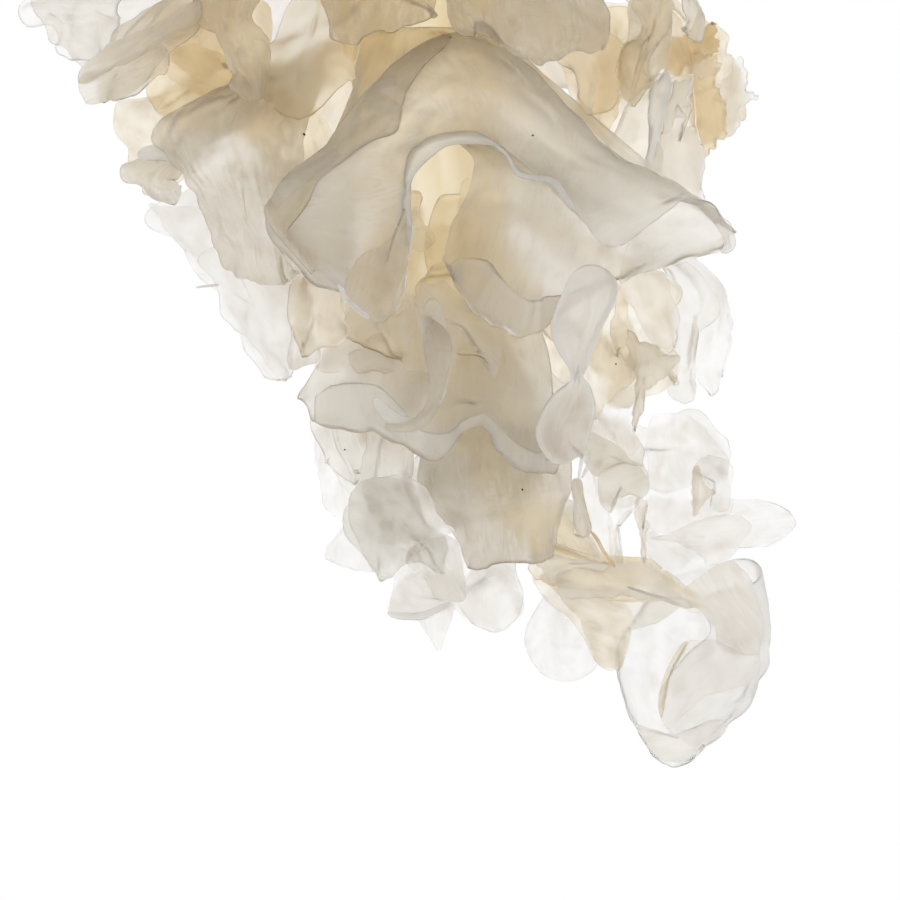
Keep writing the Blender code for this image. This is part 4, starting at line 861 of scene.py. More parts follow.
strip("arch_rolled_rim", grey, dict(notch=0.08, haze=0.25),
    ((-0.3, 56, 34), (0.5, 56, 35.2), (1.3, 56, 33.6)), ((-0.2, 51.5, 33.4), (0.6, 51.5, 34.6), (1.3, 51.5, 33)),
    ((0.3, 47, 33), (0.8, 47.5, 34), (1.3, 48, 32.6)), ((1, 44, 32.8), (2, 44.8, 34), (3, 45.5, 32.4)),
    ((3, 42.2, 32.6), (4.2, 42.8, 33.8), (5.5, 43.5, 32.2)), ((8, 41.3, 32.2), (8, 42.2, 33.4), (8, 43, 31.8)),
    ((11, 42.3, 31.8), (11.5, 42.8, 33), (12, 43.3, 31.4)),
    ((13.5, 44.5, 31.6), (13.7, 44.9, 32.6), (13.8, 45.2, 31.2)),
    ((14.8, 46.4, 31.4), (14.9, 46.8, 32.4), (15, 47.1, 31)), ((18, 47, 31.8), (18, 47.3, 32.6), (18, 47.6, 31.2)),
    ((20, 48, 32.4), (19.8, 48.4, 33.2), (19.5, 48.8, 32)),
    ((22.1, 51.3, 33), (21.9, 51.4, 33.6), (21.6, 51.5, 32.6)))
flake("opening_leaf", pale, dict(out=17, swell=0.6, warm=0.1, haze=-0.1),
    (7.4, 57.5), (7.3, 52.5), (7.6, 48.6), (8.6, 47.4), (9.5, 49.2), (10.4, 52.6), (10.8, 56.4), (9.4, 58))
flake("opening_curl", pale, dict(out=15, swell=0.6, warm=0.3),
    (1.4, 51.6), (2.2, 51), (3, 53), (4.3, 54.3), (4.2, 55.5), (2.6, 56.3), (1.7, 55.8), (1.5, 53.6))
flake("arch_notch_flap", pale, dict(out=30, swell=0.4, tear=0.5, warm=0.3, haze=0.1),
    (-10.6, 58.7), (-9.6, 57.9), (-8.4, 57.4), (-7.2, 57.5), (-6.4, 58.6), (-6.7, 60.6), (-7.6, 61.8), (-8.6, 61.2),
    (-9.2, 59.8))
# A thin milky white sheet along the arch's tear: painted highlight
flake("arch_tear_painted_highlight", pale, dict(out=37.6, swell=0.2, notch=0.08, haze=0.6),
    (-7.7, 60.6), (-6.8, 60.4), (-6.3, 61.6), (-5.2, 62.7), (-3.9, 64.4), (-4.1, 64.8), (-5.6, 63.8), (-6.6, 62.6),
    (-7.1, 62.6))
print("stage: arch folds")


# The right side's thin sheets

flake("streaked_sheet", pale, dict(out=19, sideTilt=-0.25, swell=0.8, pleat=0.25, warm=0.25),
    (27.5, 60.3), (30, 59.2), (32.8, 59), (33.8, 61.5), (34.9, 64.3), (34.5, 66.5), (33.6, 68.7), (31.5, 67.7),
    (30.3, 66.3), (29, 63.5))
flake("brown_fold", grey, dict(out=17.5, sideTilt=-0.2, swell=0.6, tear=0.35, warm=0.5, haze=0.06, shade=0.1),
    (28.2, 66), (29.3, 66.4), (30.3, 67.6), (32, 68), (33.6, 69.1), (35, 69.7), (34.3, 71.3), (32.8, 72.6),
    (31.6, 73.4), (30.6, 73.9), (30.6, 75.6), (30, 77.6), (29.2, 79.4), (28.9, 77), (29.4, 74.5), (29.3, 72),
    (28.6, 69.5))
flake("yellow_wall", yellow, dict(out=13, swell=1.0, warm=0.2, pleat=0.25, heart=0.5),
    (23.4, 61.5), (26, 60.2), (28.2, 61.5), (28.6, 65), (29.6, 68), (29.7, 71.5), (28.3, 73.4), (26, 75.4),
    (24.6, 77.3), (22.8, 77), (22.4, 70))
flake("window_sheet", pale, dict(out=15, pleat=0.25, haze=-0.1),
    (24.7, 77), (26, 75.2), (28.2, 73.4), (29.6, 74.3), (29.8, 76.8), (29, 78.8), (29.9, 80.6), (28.6, 82),
    (27.2, 80.3), (25.6, 79.2))
flake("tan_band", grey, dict(out=16, warm=0.5, haze=0.06),
    (23.2, 79), (25.5, 79.6), (27.5, 81), (29.3, 82.7), (30.6, 83.3), (28.5, 83.1), (26, 83.4), (24.6, 84.6),
    (23.2, 83), (22.6, 80.5))
flake("tan_petal", grey, dict(out=17, swell=0.7, warm=0.4, haze=0.06),
    (24.8, 84.6), (26, 83.4), (28, 83), (30, 83.5), (31.1, 85), (31.2, 86.4), (30.2, 87.2), (28.4, 87),
    (26.8, 87.5), (26.4, 89.2), (25.2, 87.6))
flake("inner_sheet", pale, dict(out=14.5, warm=0.25),
    (22.4, 86), (23.4, 83.7), (24.3, 85), (25.3, 88), (26.4, 90), (26.9, 93), (27.6, 95.2), (25, 95.6), (23.4, 92))
flake("gap_left_strip", pale, dict(out=15, swell=0.4, haze=-0.03),
    (26.4, 88), (28, 87.1), (29.8, 87.1), (29.3, 88.6), (27.9, 89.4), (27, 91), (27, 93.5), (27.9, 95.4),
    (26.8, 95.4), (26.1, 92))
flake("gap_right_strip", pale, dict(out=15.4, swell=0.3, tear=0.3, warm=0.3, shade=0.3),
    (29.8, 87.2), (30.9, 88), (30.4, 89.4), (31.3, 90.4), (30.9, 92.5), (30.9, 95.2), (30.2, 95.4), (30.1, 93),
    (29.7, 90.5), (29.3, 88.6))
flake("arc_veil", pale, dict(out=9, sideTilt=-0.2, swell=1.2, lift=0.8, haze=-0.06),
    (30.9, 79.5), (31.6, 77.2), (33.7, 76.5), (36, 77), (38.4, 78.9), (40.2, 81.3), (41.3, 83.5), (41.5, 87),
    (41.2, 89.3), (37.5, 90.3), (34, 91.4), (31.2, 91), (30.9, 85))
flake("small_tan_fin", pale, dict(out=13, swell=0.3, warm=0.4, tear=0.2, shade=0.4),
    (36.6, 84.2), (37.2, 83.2), (37.8, 84.3), (38.2, 85.6), (39.4, 86.7), (38.2, 87.6), (37.2, 89), (36.6, 89.6),
    (36.5, 87.5))
flake("curl_rim", pale, dict(out=12, swell=0.6, haze=0.04),
    (36.6, 84), (37.4, 82.7), (39, 82), (40.5, 82.5), (41, 83.6), (41.2, 86), (41, 88.6), (39, 88.6), (38.8, 87.5),
    (39.3, 86.6), (38.2, 85.3), (37.6, 83.9))
flake("arm_fold", pale, dict(out=10.5, sideTilt=-0.1, swell=0.8, warm=0.1, haze=0.02, shade=0.1),
    (31.4, 92.3), (34, 91.6), (36, 90.6), (38.5, 89.6), (41, 89.3), (43, 89.8), (44, 90.8), (42.5, 93), (41, 94.8),
    (38.5, 95.5), (36.5, 93.5), (34, 92.6))
flake("arm_lower", pale, dict(out=9, swell=0.6, haze=-0.03),
    (31, 91.6), (33.5, 92.5), (36.5, 93.5), (38.5, 95.5), (37.5, 97), (35, 98.9), (33, 97.2), (31, 95))
print("stage: right sheets")


# The tip: the bridge, the hanging lobe and the cup's folds

flake("hanging_lobe", pale, dict(out=13.6, sideTilt=-0.05, upTilt=-0.1, swell=0.8, warm=0.2, pleat=0.2, shade=0.3),
    (17.6, 97.2), (20, 99.7), (22.4, 102.2), (23.3, 105), (24.2, 107.4), (25.6, 108.5), (27.6, 108.3),
    (27.8, 106.2), (28.5, 104.1), (30.5, 103.2), (33.3, 102.3), (35, 100.6), (32, 99.2), (27, 98.5), (22, 98),
    (19, 96.8))
flake("bridge_flap", grey, dict(out=16.5, tear=0.3, warm=0.1, haze=0.04, pleat=0.25),
    (19.5, 96.9), (22, 95.9), (24.6, 96.1), (27, 95.4), (29.3, 95.2), (31.4, 95.8), (33, 97.3), (34.5, 98.8),
    (36, 99.9), (37.7, 100.7), (36.4, 101.2), (35, 100.6), (33.5, 99.9), (31.5, 99.4), (30.4, 100), (27.5, 99.7),
    (23, 99.9), (20, 99.6))
flake("bridge_roll", grey, dict(out=17.4, tear=0.3, warm=0.05, haze=0.08),
    (15.3, 94.6), (17, 93.9), (19.5, 94.2), (22, 94.8), (25, 95.4), (26.6, 95.4), (25, 96.3), (22, 96.2),
    (20, 96.9), (18.6, 97.4), (17.4, 95.8))
flake("cup_shoulder", pale, dict(out=18.5, sideTilt=-0.35, swell=1.0, warm=0.2, pleat=0.35, shade=0.2),
    (34.9, 99), (37, 97.5), (39.3, 96), (41.3, 95.2), (43, 96.4), (44.4, 98.8), (45.2, 102), (45.2, 105.5),
    (44.4, 107), (42, 106.6), (39.9, 105.6), (39.5, 104), (38.5, 102.4), (37.2, 101.1), (35.8, 100.5))
flake("cup_inner_lobe", pale, dict(out=19.5, sideTilt=-0.3, upTilt=-0.1, swell=0.9, warm=0.2, haze=0.03, pleat=0.2),
    (36.2, 105.1), (38, 104.9), (39.7, 105.1), (42, 106.4), (44.8, 107.4), (44, 109.8), (41.3, 111.2), (38.5, 112),
    (36.3, 113.3), (34.6, 115), (33.6, 116.1), (32.7, 115), (32.3, 113.2), (32.9, 110.6), (34.1, 108.3),
    (35.2, 106.5))
flake("cup_brown_edge", yellow, dict(out=20.4, swell=0.1, warm=0.25, haze=0.06, notch=0.08, lift=0.1, crumple=0.05),
    (36.1, 105.2), (34.9, 107), (33.8, 109.2), (33, 111.3), (32.7, 113.4), (32.7, 114.8), (32.2, 113.5),
    (32.5, 111), (33.3, 108.8), (34.4, 106.8), (35.5, 105.2))
flake("cup_bottom", pale, dict(out=16.5, swell=0.8, warm=0.15, shade=0.1),
    (29.6, 115.6), (31.5, 116.6), (33.5, 116.8), (36, 116.1), (38.5, 115.2), (40.6, 115.2), (39, 116.4),
    (37.6, 118), (36.4, 119.4), (34.6, 120.2), (32.8, 120), (31.4, 118.7), (30.3, 117.2))
flake("tip_fill_left", pale, dict(out=15, swell=0.6, warm=0.15, haze=-0.05),
    (-1.2, 99.8), (1, 97), (4, 96), (7, 96.5), (7, 100.6), (4.7, 101.6), (3, 102.3), (-1.2, 101.9))
flake("tip_fill_middle", pale, dict(out=15.6, swell=0.6, warm=0.15, haze=-0.05),
    (6.4, 96), (9, 94.8), (12.5, 94.8), (14.2, 97), (15.3, 101), (14.3, 102.4), (12, 103.4), (9.5, 102.6),
    (6.8, 101))
print("stage: tip folds")


# The left side's veils

flake("left_veil_low", pale, dict(out=15.5, sideTilt=0.3, swell=0.8, pleat=0.3),
    (-24.2, 56.3), (-22, 55.9), (-20.6, 57.6), (-18, 59), (-14, 59.6), (-12.4, 60.5), (-13, 64), (-14, 68),
    (-13.9, 72.5), (-15, 72.4), (-17, 70), (-19, 67.3), (-21, 65.8), (-22.4, 64), (-23, 60.4), (-24.3, 59),
    (-25.3, 57.4))
flake("left_veil_high", pale, dict(out=8, sideTilt=0.4, swell=0.6),
    (-31.4, 50.4), (-29, 50.7), (-26, 50.9), (-23.3, 51.5), (-22, 55.8), (-24, 56.3), (-25.3, 57.4), (-28, 55),
    (-30, 52.3))
flake("beige_panel", grey, dict(out=19, swell=0.4, warm=0.1, haze=-0.06, shade=0.2),
    (-12.2, 59.6), (-11.2, 62.5), (-11, 66.8), (-10, 68.9), (-10.3, 70.2), (-12, 70.8), (-13.8, 70.9), (-13.7, 68),
    (-12.8, 64.2))
flake("light_panel", pale, dict(out=17, haze=-0.04),
    (-11.8, 58.6), (-9.5, 59.3), (-7.6, 60), (-7.4, 63.5), (-6, 66.2), (-4.3, 67.6), (-2.6, 69), (-0.5, 70.6),
    (-3, 71.6), (-7, 71.6), (-10.4, 71.4), (-9.9, 69), (-11, 66.6))
flake("under_lobe", pale, dict(out=22, warm=0.2, haze=-0.04),
    (-7.5, 62.2), (-5, 61.8), (-2, 64.2), (-1.3, 66.2), (-1.5, 67.6), (-4.4, 67.6), (-6.2, 66.2))
flake("under_sheet", pale, dict(out=21, swell=0.4, haze=-0.05),
    (-2, 65.2), (0, 64), (1.3, 62.4), (1.8, 66), (1, 69), (0.2, 70.3), (-1, 68.5))
flake("leaf", grey, dict(out=21.5, swell=0.6, warm=0.4),
    (-6.5, 69.3), (-5.4, 68.6), (-3.4, 68.7), (-1.4, 69.8), (-0.8, 71.3), (-3, 71.4), (-5.3, 71.6), (-6.2, 70.5))
flake("small_roll", grey, dict(out=13, sideTilt=0.4, haze=0.3, notch=0.1),
    (-32.8, 44.1), (-31.3, 43.2), (-29.4, 43.6), (-28, 44.4), (-28.8, 45.1), (-30.5, 44.9), (-32.2, 44.9))
flake("tan_shoulder", yellow, dict(out=16, swell=1.0, warm=0.1, haze=-0.14, pleat=0.25, heart=0.2),
    (-21, 37.6), (-17, 36.6), (-12.5, 37.2), (-9.4, 39.6), (-8.3, 42.6), (-9.8, 45.6), (-12.5, 47.6), (-15.4, 50.4),
    (-16.4, 48), (-17.2, 44.5), (-19.4, 41.5))
print("stage: left veils")


# The upper right: the tongue's neighbours, the orange rough patch and the pale rough frills

flake("right_wall", yellow, dict(out=-4, sideTilt=0.2, swell=1.0, warm=0.1, pleat=0.3, haze=-0.1, heart=0.5),
    (20, 27), (27, 25.4), (34, 26), (36.5, 31), (36.8, 38), (37.6, 44), (37, 50), (33, 50), (27, 46), (22, 40))
flake("bright_strip", yellow, dict(out=9, swell=0.4, warm=0.4, haze=-0.04, pleat=0.25),
    (25.4, 26), (28.7, 26), (28.7, 29.1), (27.8, 32.5), (27.7, 36.3), (25.9, 42), (23.4, 41.5), (22, 37.4),
    (23.4, 35.1), (24.5, 32.5), (24.9, 29.9))
flake("orange_patch", yellow, dict(out=-8, swell=0.6, tear=0.9, notch=0.4, warm=1.0, haze=0.1, crumple=0.5,
        shade=0.3),
    (32.2, 30), (35, 29.3), (36.1, 28.6), (38, 28.4), (39.5, 27.2), (39.7, 29.4), (40.2, 31), (38.8, 32.3),
    (37.4, 33), (35.8, 33.3), (35, 34.6), (33.6, 34.6), (32.4, 33))
flake("orange_tail", yellow, dict(out=-9, swell=0.6, tear=0.8, notch=0.4, warm=0.9, haze=0.05, crumple=0.5),
    (36.2, 31.5), (39.5, 31.6), (39.7, 34.8), (40.4, 36.3), (40.7, 40), (41, 41.9), (39.5, 44.2), (38.2, 44.6),
    (37.2, 42.3), (36.3, 40), (36, 36))
flake("pale_frill_outer", pale, dict(out=-10, swell=0.6, tear=0.9, notch=0.4, warm=0.1, haze=0.05, crumple=0.5),
    (39.4, 35.9), (41, 34.4), (41.5, 32.6), (42.6, 32.4), (43.6, 34), (43.6, 35.9), (44.9, 37), (43.3, 38.1),
    (42.5, 39.3), (42.5, 40.8), (41.8, 41.9), (40.3, 41.5), (40.2, 39.3), (39.4, 37.8))
flake("pale_frill_inner", pale, dict(out=-6, swell=0.6, tear=0.8, notch=0.3, warm=0.3, haze=0.08, crumple=0.4),
    (35.7, 32.6), (37.2, 31.7), (39.1, 32), (40.3, 33.6), (38.9, 34.5), (37, 34.9), (35.8, 34.2))
flake("streaked_pale_sheet", pale, dict(out=5, swell=0.8, pleat=0.35, warm=0.2),
    (32.6, 42), (34.3, 41), (36.5, 41), (37.3, 43), (38, 44.1), (37.7, 47.5), (37.5, 48.8), (35, 48), (32.2, 47.2))
flake("jagged_frill", grey, dict(out=11.5, swell=0.4, tear=0.5, warm=0.15),
    (34.1, 35.1), (35, 34.5), (36.8, 34.4), (36.4, 36.2), (35.8, 37.2), (36.6, 37.9), (35.2, 38.7), (35.9, 39.7),
    (34.3, 39.9), (33.9, 41.1), (32.6, 41.9), (32.9, 39.3))
# The fold's milky rim is a painted highlight
flake("petal_fold", pale, dict(out=14.6, swell=0.4, haze=0.1, paintedRimHighlight=0.35, heart=0.0),
    (31.2, 36.2), (33.2, 33.8), (33.9, 34.8), (33.9, 36), (32.9, 39.3), (32, 43), (31.3, 46), (30.6, 46.2),
    (31.2, 42), (31, 39))
print("stage: upper right")


# The upper left: sheets behind the tongue, and the twisted tan strip

flake("left_wall", yellow, dict(out=2, sideTilt=0.25, swell=1.2, warm=0.8, pleat=0.3, haze=-0.03, heart=0.5),
    (-30, 26), (-24, 24.8), (-17, 25), (-16, 30), (-15.5, 36), (-14, 40), (-15, 43), (-22, 42), (-29, 40),
    (-32, 35))
flake("far_left_veil", pale, dict(out=-1, sideTilt=0.5, swell=0.8, warm=0.3, pleat=0.25, haze=0.04, shade=0.1),
    (-45.8, 24.6), (-44.4, 28.4), (-43.5, 30.4), (-41.6, 31.2), (-39.4, 33.6), (-37, 31.6), (-32.5, 31),
    (-29, 29.5), (-27.5, 25), (-36, 24.4))
flake("twisted_strip", grey, dict(out=15.5, sideTilt=0.45, warm=0.3, haze=0.04, pleat=0.2, shade=0.25),
    (-25.4, 25), (-30.3, 28), (-35.9, 30.4), (-40, 34), (-39.7, 35.6), (-36, 33.6), (-32, 31.8), (-28.6, 29.6),
    (-25, 27.6))
flake("twisted_strip_lower", grey, dict(out=13.8, sideTilt=0.45, warm=0.3, haze=-0.06, shade=0.1),
    (-39.9, 34.6), (-39.4, 37.8), (-37.6, 37.8), (-33.6, 36.5), (-31, 34), (-29.2, 31.2), (-32, 31.2), (-36, 33.2))
flake("tan_left_veil", yellow, dict(out=11, sideTilt=0.3, warm=0.2, haze=-0.12),
    (-30.3, 31.8), (-25.8, 30.6), (-21.9, 32.2), (-19, 36.3), (-23.6, 37.2), (-27.5, 35.6))
flake("arch_lobe_fold", grey, dict(out=39.2, sideTilt=-0.75, swell=0.6, warm=0.6, shade=0.25),
    (0.5, 51), (-0.9, 54.4), (-4.4, 56.6), (-6.2, 58.8), (-6.9, 61), (-5, 63.6), (-2, 64.8), (0, 62.2), (0.9, 57.5),
    (0.9, 53))
flake("left_skirt_veil", pale, dict(out=6, swell=0.6, haze=-0.04),
    (-11, 77.5), (-4, 78), (-3, 84), (-5, 88), (-8, 84.5), (-9.6, 81.5))
print("stage: upper left")


# The lower middle: the hooked strip, the flap behind it, the lobe under the wave and its tails

strip("hooked_strip", grey, dict(notch=0.15, crumple=0.1, haze=0.1, warm=0.2, shade=0.3),
    ((2.4, 64.6, 28.4), (3.2, 64.7, 29.2), (4.0, 64.9, 28.6)),
    ((2.9, 67, 29.6), (4.4, 66.8, 30.8), (5.9, 66.6, 30)), ((3.05, 69, 31.2), (4.7, 69, 32.4), (6.4, 68.9, 31.4)),
    ((3.5, 71.4, 32.4), (4.8, 71.3, 33.2), (6.1, 71.2, 32.4)),
    ((3.6, 73.6, 33.4), (4.5, 73.6, 34), (5.5, 73.6, 33.4)), ((3.2, 75.4, 34), (4, 75.5, 34.6), (4.8, 75.7, 34)),
    ((2.3, 76.9, 34.4), (3, 77.3, 35), (3.7, 77.8, 34.4)),
    ((0.4, 77.9, 34.6), (0.9, 78.4, 35.2), (1.5, 78.9, 34.6)),
    ((-2.2, 77.8, 34.4), (-2.1, 78.3, 34.8), (-2, 78.8, 34.2)))
flake("knuckle", pale, dict(out=29.8, notch=0.08),
    (2.1, 63.3), (2.9, 63.8), (3.8, 64.4), (4.1, 65.4), (3.6, 66.3), (2.9, 66.9), (2.5, 66.2), (2.1, 64.9))
flake("stem_strip", yellow, dict(out=25.6, swell=0.4, notch=0.1),
    (2, 63.2), (2.5, 66), (2.9, 67), (3, 68.5), (3.2, 70.2), (3.3, 71.5), (2.4, 71.4), (1.2, 71.3), (0.4, 71.2),
    (0.7, 69.5), (1.2, 68), (1.7, 66.5), (1.6, 65))
flake("pocket_flap", grey, dict(out=25.6, upTilt=0.12, swell=0.8, notch=0.1, warm=0.2, pleat=0.15),
    (1.8, 62.2), (2.4, 61.3), (2.4, 60.7), (2.8, 60.2), (3.9, 60.6), (5.2, 60.1), (6.3, 60.8), (8.3, 62.9),
    (10.7, 64.3), (13, 65.4), (12.9, 67.5), (12.6, 70), (12.2, 71.5), (11.6, 72.4), (11.3, 71), (10.2, 70.2),
    (9, 69.4), (8, 69), (7.2, 69.7), (6.5, 69.9), (6.3, 68), (5.8, 66.5), (4.6, 65.4), (4, 65.2), (3.7, 64.2),
    (2.9, 63.8), (2.1, 63.1))
flake("lower_fold", grey, dict(out=15, upTilt=-0.05, swell=1.0, notch=0.1, lift=0.3),
    (0.5, 84.5), (3, 85.7), (4.2, 88), (5, 90), (7, 91), (10, 90.2), (13, 89.4), (15.3, 88.2), (16.5, 86.5),
    (18, 84.5), (20.8, 82.3), (19, 79.5), (14, 78), (10, 78), (5, 80), (2, 82))
flake("lobe_front", pale, dict(out=22, sideTilt=0.65, upTilt=0.1, swell=1.2, notch=0.12, lift=0.3, pleat=0.2),
    (-4.4, 85), (-2, 84.6), (0.5, 84.5), (3, 85.7), (4.2, 88), (5, 90), (6.9, 91.2), (5.6, 91.9), (4, 92.2),
    (2.6, 93.4), (1.6, 94.6), (0.9, 95.3), (0, 96), (-1, 97.2), (-2, 97.1), (-2.7, 96.5), (-4, 95), (-5, 93),
    (-6, 91), (-6.4, 89), (-6.2, 87), (-5.3, 85.5))
flake("lobe_shade", grey, dict(out=20.4, sideTilt=0.5, upTilt=0.1, swell=0.8, notch=0.2, haze=-0.06, shade=0.15),
    (-4.6, 85.6), (-1, 84.8), (2.6, 86), (4, 88.4), (5.4, 90.6), (4, 92), (1.4, 92.6), (-1.6, 93), (-2.4, 91),
    (-3.6, 89))
flake("lobe_tail", grey, dict(out=23.2, upTilt=0.1, notch=0.12, haze=-0.02, shade=0.15),
    (1.5, 93.5), (0.9, 95.3), (2.5, 96.8), (3.8, 98.5), (4.4, 99.7), (6, 100.2), (8, 100), (8.2, 98.5), (8, 96.5),
    (7.6, 94.5), (6.9, 92.4), (4.5, 92))
flake("under_curl", pale, dict(out=17.6, notch=0.1),
    (-0.6, 97.2), (-1, 99.5), (-1.4, 101.6), (0, 102.2), (2.5, 102.3), (4.5, 101.4), (6.3, 100.4), (4.4, 99.7),
    (3.8, 98.5), (2.5, 96.8), (0.9, 95.3), (0, 96))
strip("under_curl_rim", pale, dict(notch=0.08, haze=0.2, thickness=0.4),
    ((-1.7, 101.3, 18), (-1.5, 102, 18.4)), ((0, 101.6, 18.2), (0, 102.4, 18.8)),
    ((2.4, 101.5, 18.4), (2.6, 102.4, 19)), ((4.4, 100.8, 18.6), (4.7, 101.6, 19)),
    ((6.2, 100.1, 18.4), (6.7, 100.7, 18.8)))
flake("dark_strip", grey, dict(out=20.6, swell=0.3, notch=0.05, lift=0.1, haze=0.12, warm=0.1, thickness=0.6,
        shade=0.5),
    (21.6, 84.9), (22.6, 85), (22.9, 87), (23.5, 89.5), (23.9, 91), (23.6, 91.9), (22.8, 92), (22, 91.2),
    (21.7, 90), (21.8, 88), (21.5, 86.4))
flake("lower_window", grey, dict(out=12, swell=0.4, notch=0.1, warm=0.3, shade=0.1),
    (19.6, 89.6), (20, 88.3), (20.8, 87.5), (21.7, 87.8), (21.8, 90), (22.4, 92.3), (24, 92.2), (25, 94),
    (24.7, 94.8), (22.6, 94.5), (20.8, 94.2), (19.5, 94), (19.4, 92))
strip("small_loop", grey, dict(lift=0.0, pleat=0.0, crumple=0.0, haze=0.25, thickness=0.35, fineLevels=2),
    ((22.1, 84.9, 20.8), (22.5, 84.9, 20.8)), ((22.35, 83.4, 21), (22.75, 83.5, 21)),
    ((22.65, 81.9, 21), (23.05, 82.1, 21)), ((23.4, 81.1, 21), (23.4, 81.5, 21)), ((24, 82, 21), (23.6, 82, 21)),
    ((23.7, 83.3, 21), (23.3, 83.1, 21)), ((22.9, 84.9, 20.8), (22.5, 84.7, 20.8)))
strip("thin_cord", yellow, dict(pleat=0.0, crumple=0.1, haze=0.3, warm=0.6, thickness=0.4, shade=0.5),
    ((23.6, 91.4, 20.6), (24, 91.3, 20.6)), ((24.5, 92.6, 20.2), (24.9, 92.4, 20.2)),
    ((25.1, 93.8, 19.6), (25.5, 93.6, 19.6)), ((25.9, 95, 18.8), (26.3, 94.8, 18.8)),
    ((26.7, 96, 17.8), (27.1, 95.8, 17.8)))
strip("twig_end", grey, dict(pleat=0.0, crumple=0.05, haze=0.3, warm=0.2, thickness=0.4, shade=0.15),
    ((-25.5, 60.8, 14), (-25.5, 61.1, 14)), ((-24.1, 60.6, 14.4), (-24.1, 60.9, 14.4)),
    ((-22.6, 60.4, 14.8), (-22.6, 60.8, 14.8)))
# The crack, drawn as a milky white line: the crack is real, its bright edge is painted highlight
strip("crack_line_painted_highlight", pale, dict(lift=0.05, pleat=0.0, crumple=0.05, haze=0.8, thickness=0.3),
    ((33.4, 26.1, 14.4), (33.65, 26.1, 14.4)), ((33.6, 27.6, 14.6), (33.85, 27.6, 14.6)),
    ((33.2, 29.1, 14.8), (33.45, 29.2, 14.8)), ((32, 30.2, 15), (32.1, 30.45, 15)),
    ((30.8, 31.3, 15), (31, 31.5, 15)), ((29.7, 33, 15), (29.95, 33.15, 15)))
print("stage: lower middle")


# The arch's open right end: the white far wall and the rolled rim

flake("mouth_face", pale, dict(out=29.6, sideTilt=-0.1, swell=0.2, notch=0.08, lift=0.2, haze=-0.06, heart=0.0,
        pleat=0.1),
    (27.4, 60.2), (28.5, 55.2), (31, 51.8), (33.2, 50), (35.1, 49.3), (36.9, 49.7), (38, 50.6), (39.5, 51.9),
    (40.7, 53.8), (41.2, 55.2), (40.9, 56.2), (38.1, 56.9), (35.1, 57.9), (32.1, 58.6), (29.2, 59.5))
strip("mouth_rim", grey, dict(lift=0.05, notch=0.03, heart=0.0, haze=-0.02, shade=0.1, fineLevels=4),
    ((34.6, 49.2, 30.6), (34.7, 49.6, 30.4)), ((36, 49.2, 30.6), (36, 49.8, 30.3)),
    ((37.2, 49.6, 30.6), (36.9, 50.4, 30.2)), ((38.2, 50.3, 30.5), (37.7, 51.2, 30.1)),
    ((39.7, 51.5, 30.4), (38.9, 52.5, 29.9)), ((41.1, 53.3, 30.2), (40, 54, 29.7)),
    ((41.9, 54.8, 30.1), (40.5, 55.2, 29.6)), ((41.7, 56.1, 30), (40.4, 56, 29.6)),
    ((40.5, 56.8, 30), (39.9, 56.5, 29.6)))
print("stage: arch end")


# The right tongue's fold, a narrow beige fold beside the petal and a veil that fills a gap at the left

flake("tongue_fold", grey, dict(out=17.4, swell=0.4, notch=0.08, lift=0.2, haze=-0.03, warm=0.4, shade=0.3),
    (28.8, 25), (28.6, 29.1), (27.5, 32.5), (27.5, 36.3), (28.6, 37.8), (30.1, 36.6), (31.3, 35.9), (32.4, 34),
    (33.5, 33), (33.9, 29.9), (34, 26.9), (33.9, 25))
flake("narrow_fold", grey, dict(out=13.4, swell=0.2, notch=0.05, lift=0.1, warm=0.3),
    (31.3, 46), (31.6, 44), (32, 42.6), (32.8, 43.8), (32.8, 45.4), (32.4, 46.8))
flake("skirt_fill", pale, dict(out=3, swell=0.6, haze=-0.04, pleat=0.2),
    (-10.5, 79), (-8, 77.6), (-5.4, 79), (-5, 83), (-5.6, 87), (-7.4, 89.6), (-9.4, 88), (-10.2, 84))
print("stage: small folds")


# Dark specks that lie on the gel where the photo shows them

speckSettings = dict(
    colour="#5A2A18", roughness=0.6, rough=0.4, squash=(1.0, 0.8, 0.45), raised=0.2, firstSeed=60,
    places=(  # side, up and radius in mm
        (-12, 41.8, 0.2), (6.3, 29.7, 0.15), (16.6, 41.9, 0.12), (15.3, 86.2, 0.14), (27, 70.5, 0.12),
        (-6.9, 81.2, 0.12),
    ),
)


def addSpeck(side, up, size, seed):  # a rough crumb on the sheet that the camera sees at this place
    eye = Vector((-viewSide, -viewDistance, viewUp)) * mm
    graph = bpy.context.evaluated_depsgraph_get()
    hit, spot, normal = bpy.context.scene.ray_cast(graph, eye, world(side, up, 0) - eye)[:3]
    if not hit:
        return
    bpy.ops.object.select_all(action="DESELECT")
    bpy.ops.mesh.primitive_ico_sphere_add(subdivisions=3, radius=size * mm)
    piece = bpy.context.object
    places = read(piece.data, "co")
    bumps = 1 + speckSettings["rough"] * waves(places, size * 1.2, seed)
    places = places * bumps[:, None] * speckSettings["squash"]
    turn = np.array(normal.to_track_quat("Z", "Y").to_matrix())
    write(piece.data, places @ turn.T + np.array(spot + normal * size * mm * speckSettings["raised"]))
    parts.append(piece)


parts = []
for index, (side, up, size) in enumerate(speckSettings["places"]):
    addSpeck(side, up, size, speckSettings["firstSeed"] + index)
bpy.ops.object.select_all(action="DESELECT")
for piece in parts:
    piece.select_set(True)
bpy.context.view_layer.objects.active = parts[0]
bpy.ops.object.join()
specks = bpy.context.object
specks.name = specks.data.name = "specks"
bpy.ops.object.shade_smooth()
# Crumbs of bark from the wood that the fungus grew on: dark red brown and dry
bark = plainMaterial("red brown bark speck", speckSettings["colour"], speckSettings["roughness"])
specks.data.materials.append(bark)
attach(specks, "root")
print("stage: specks")


# The stalk and the rough cut foot

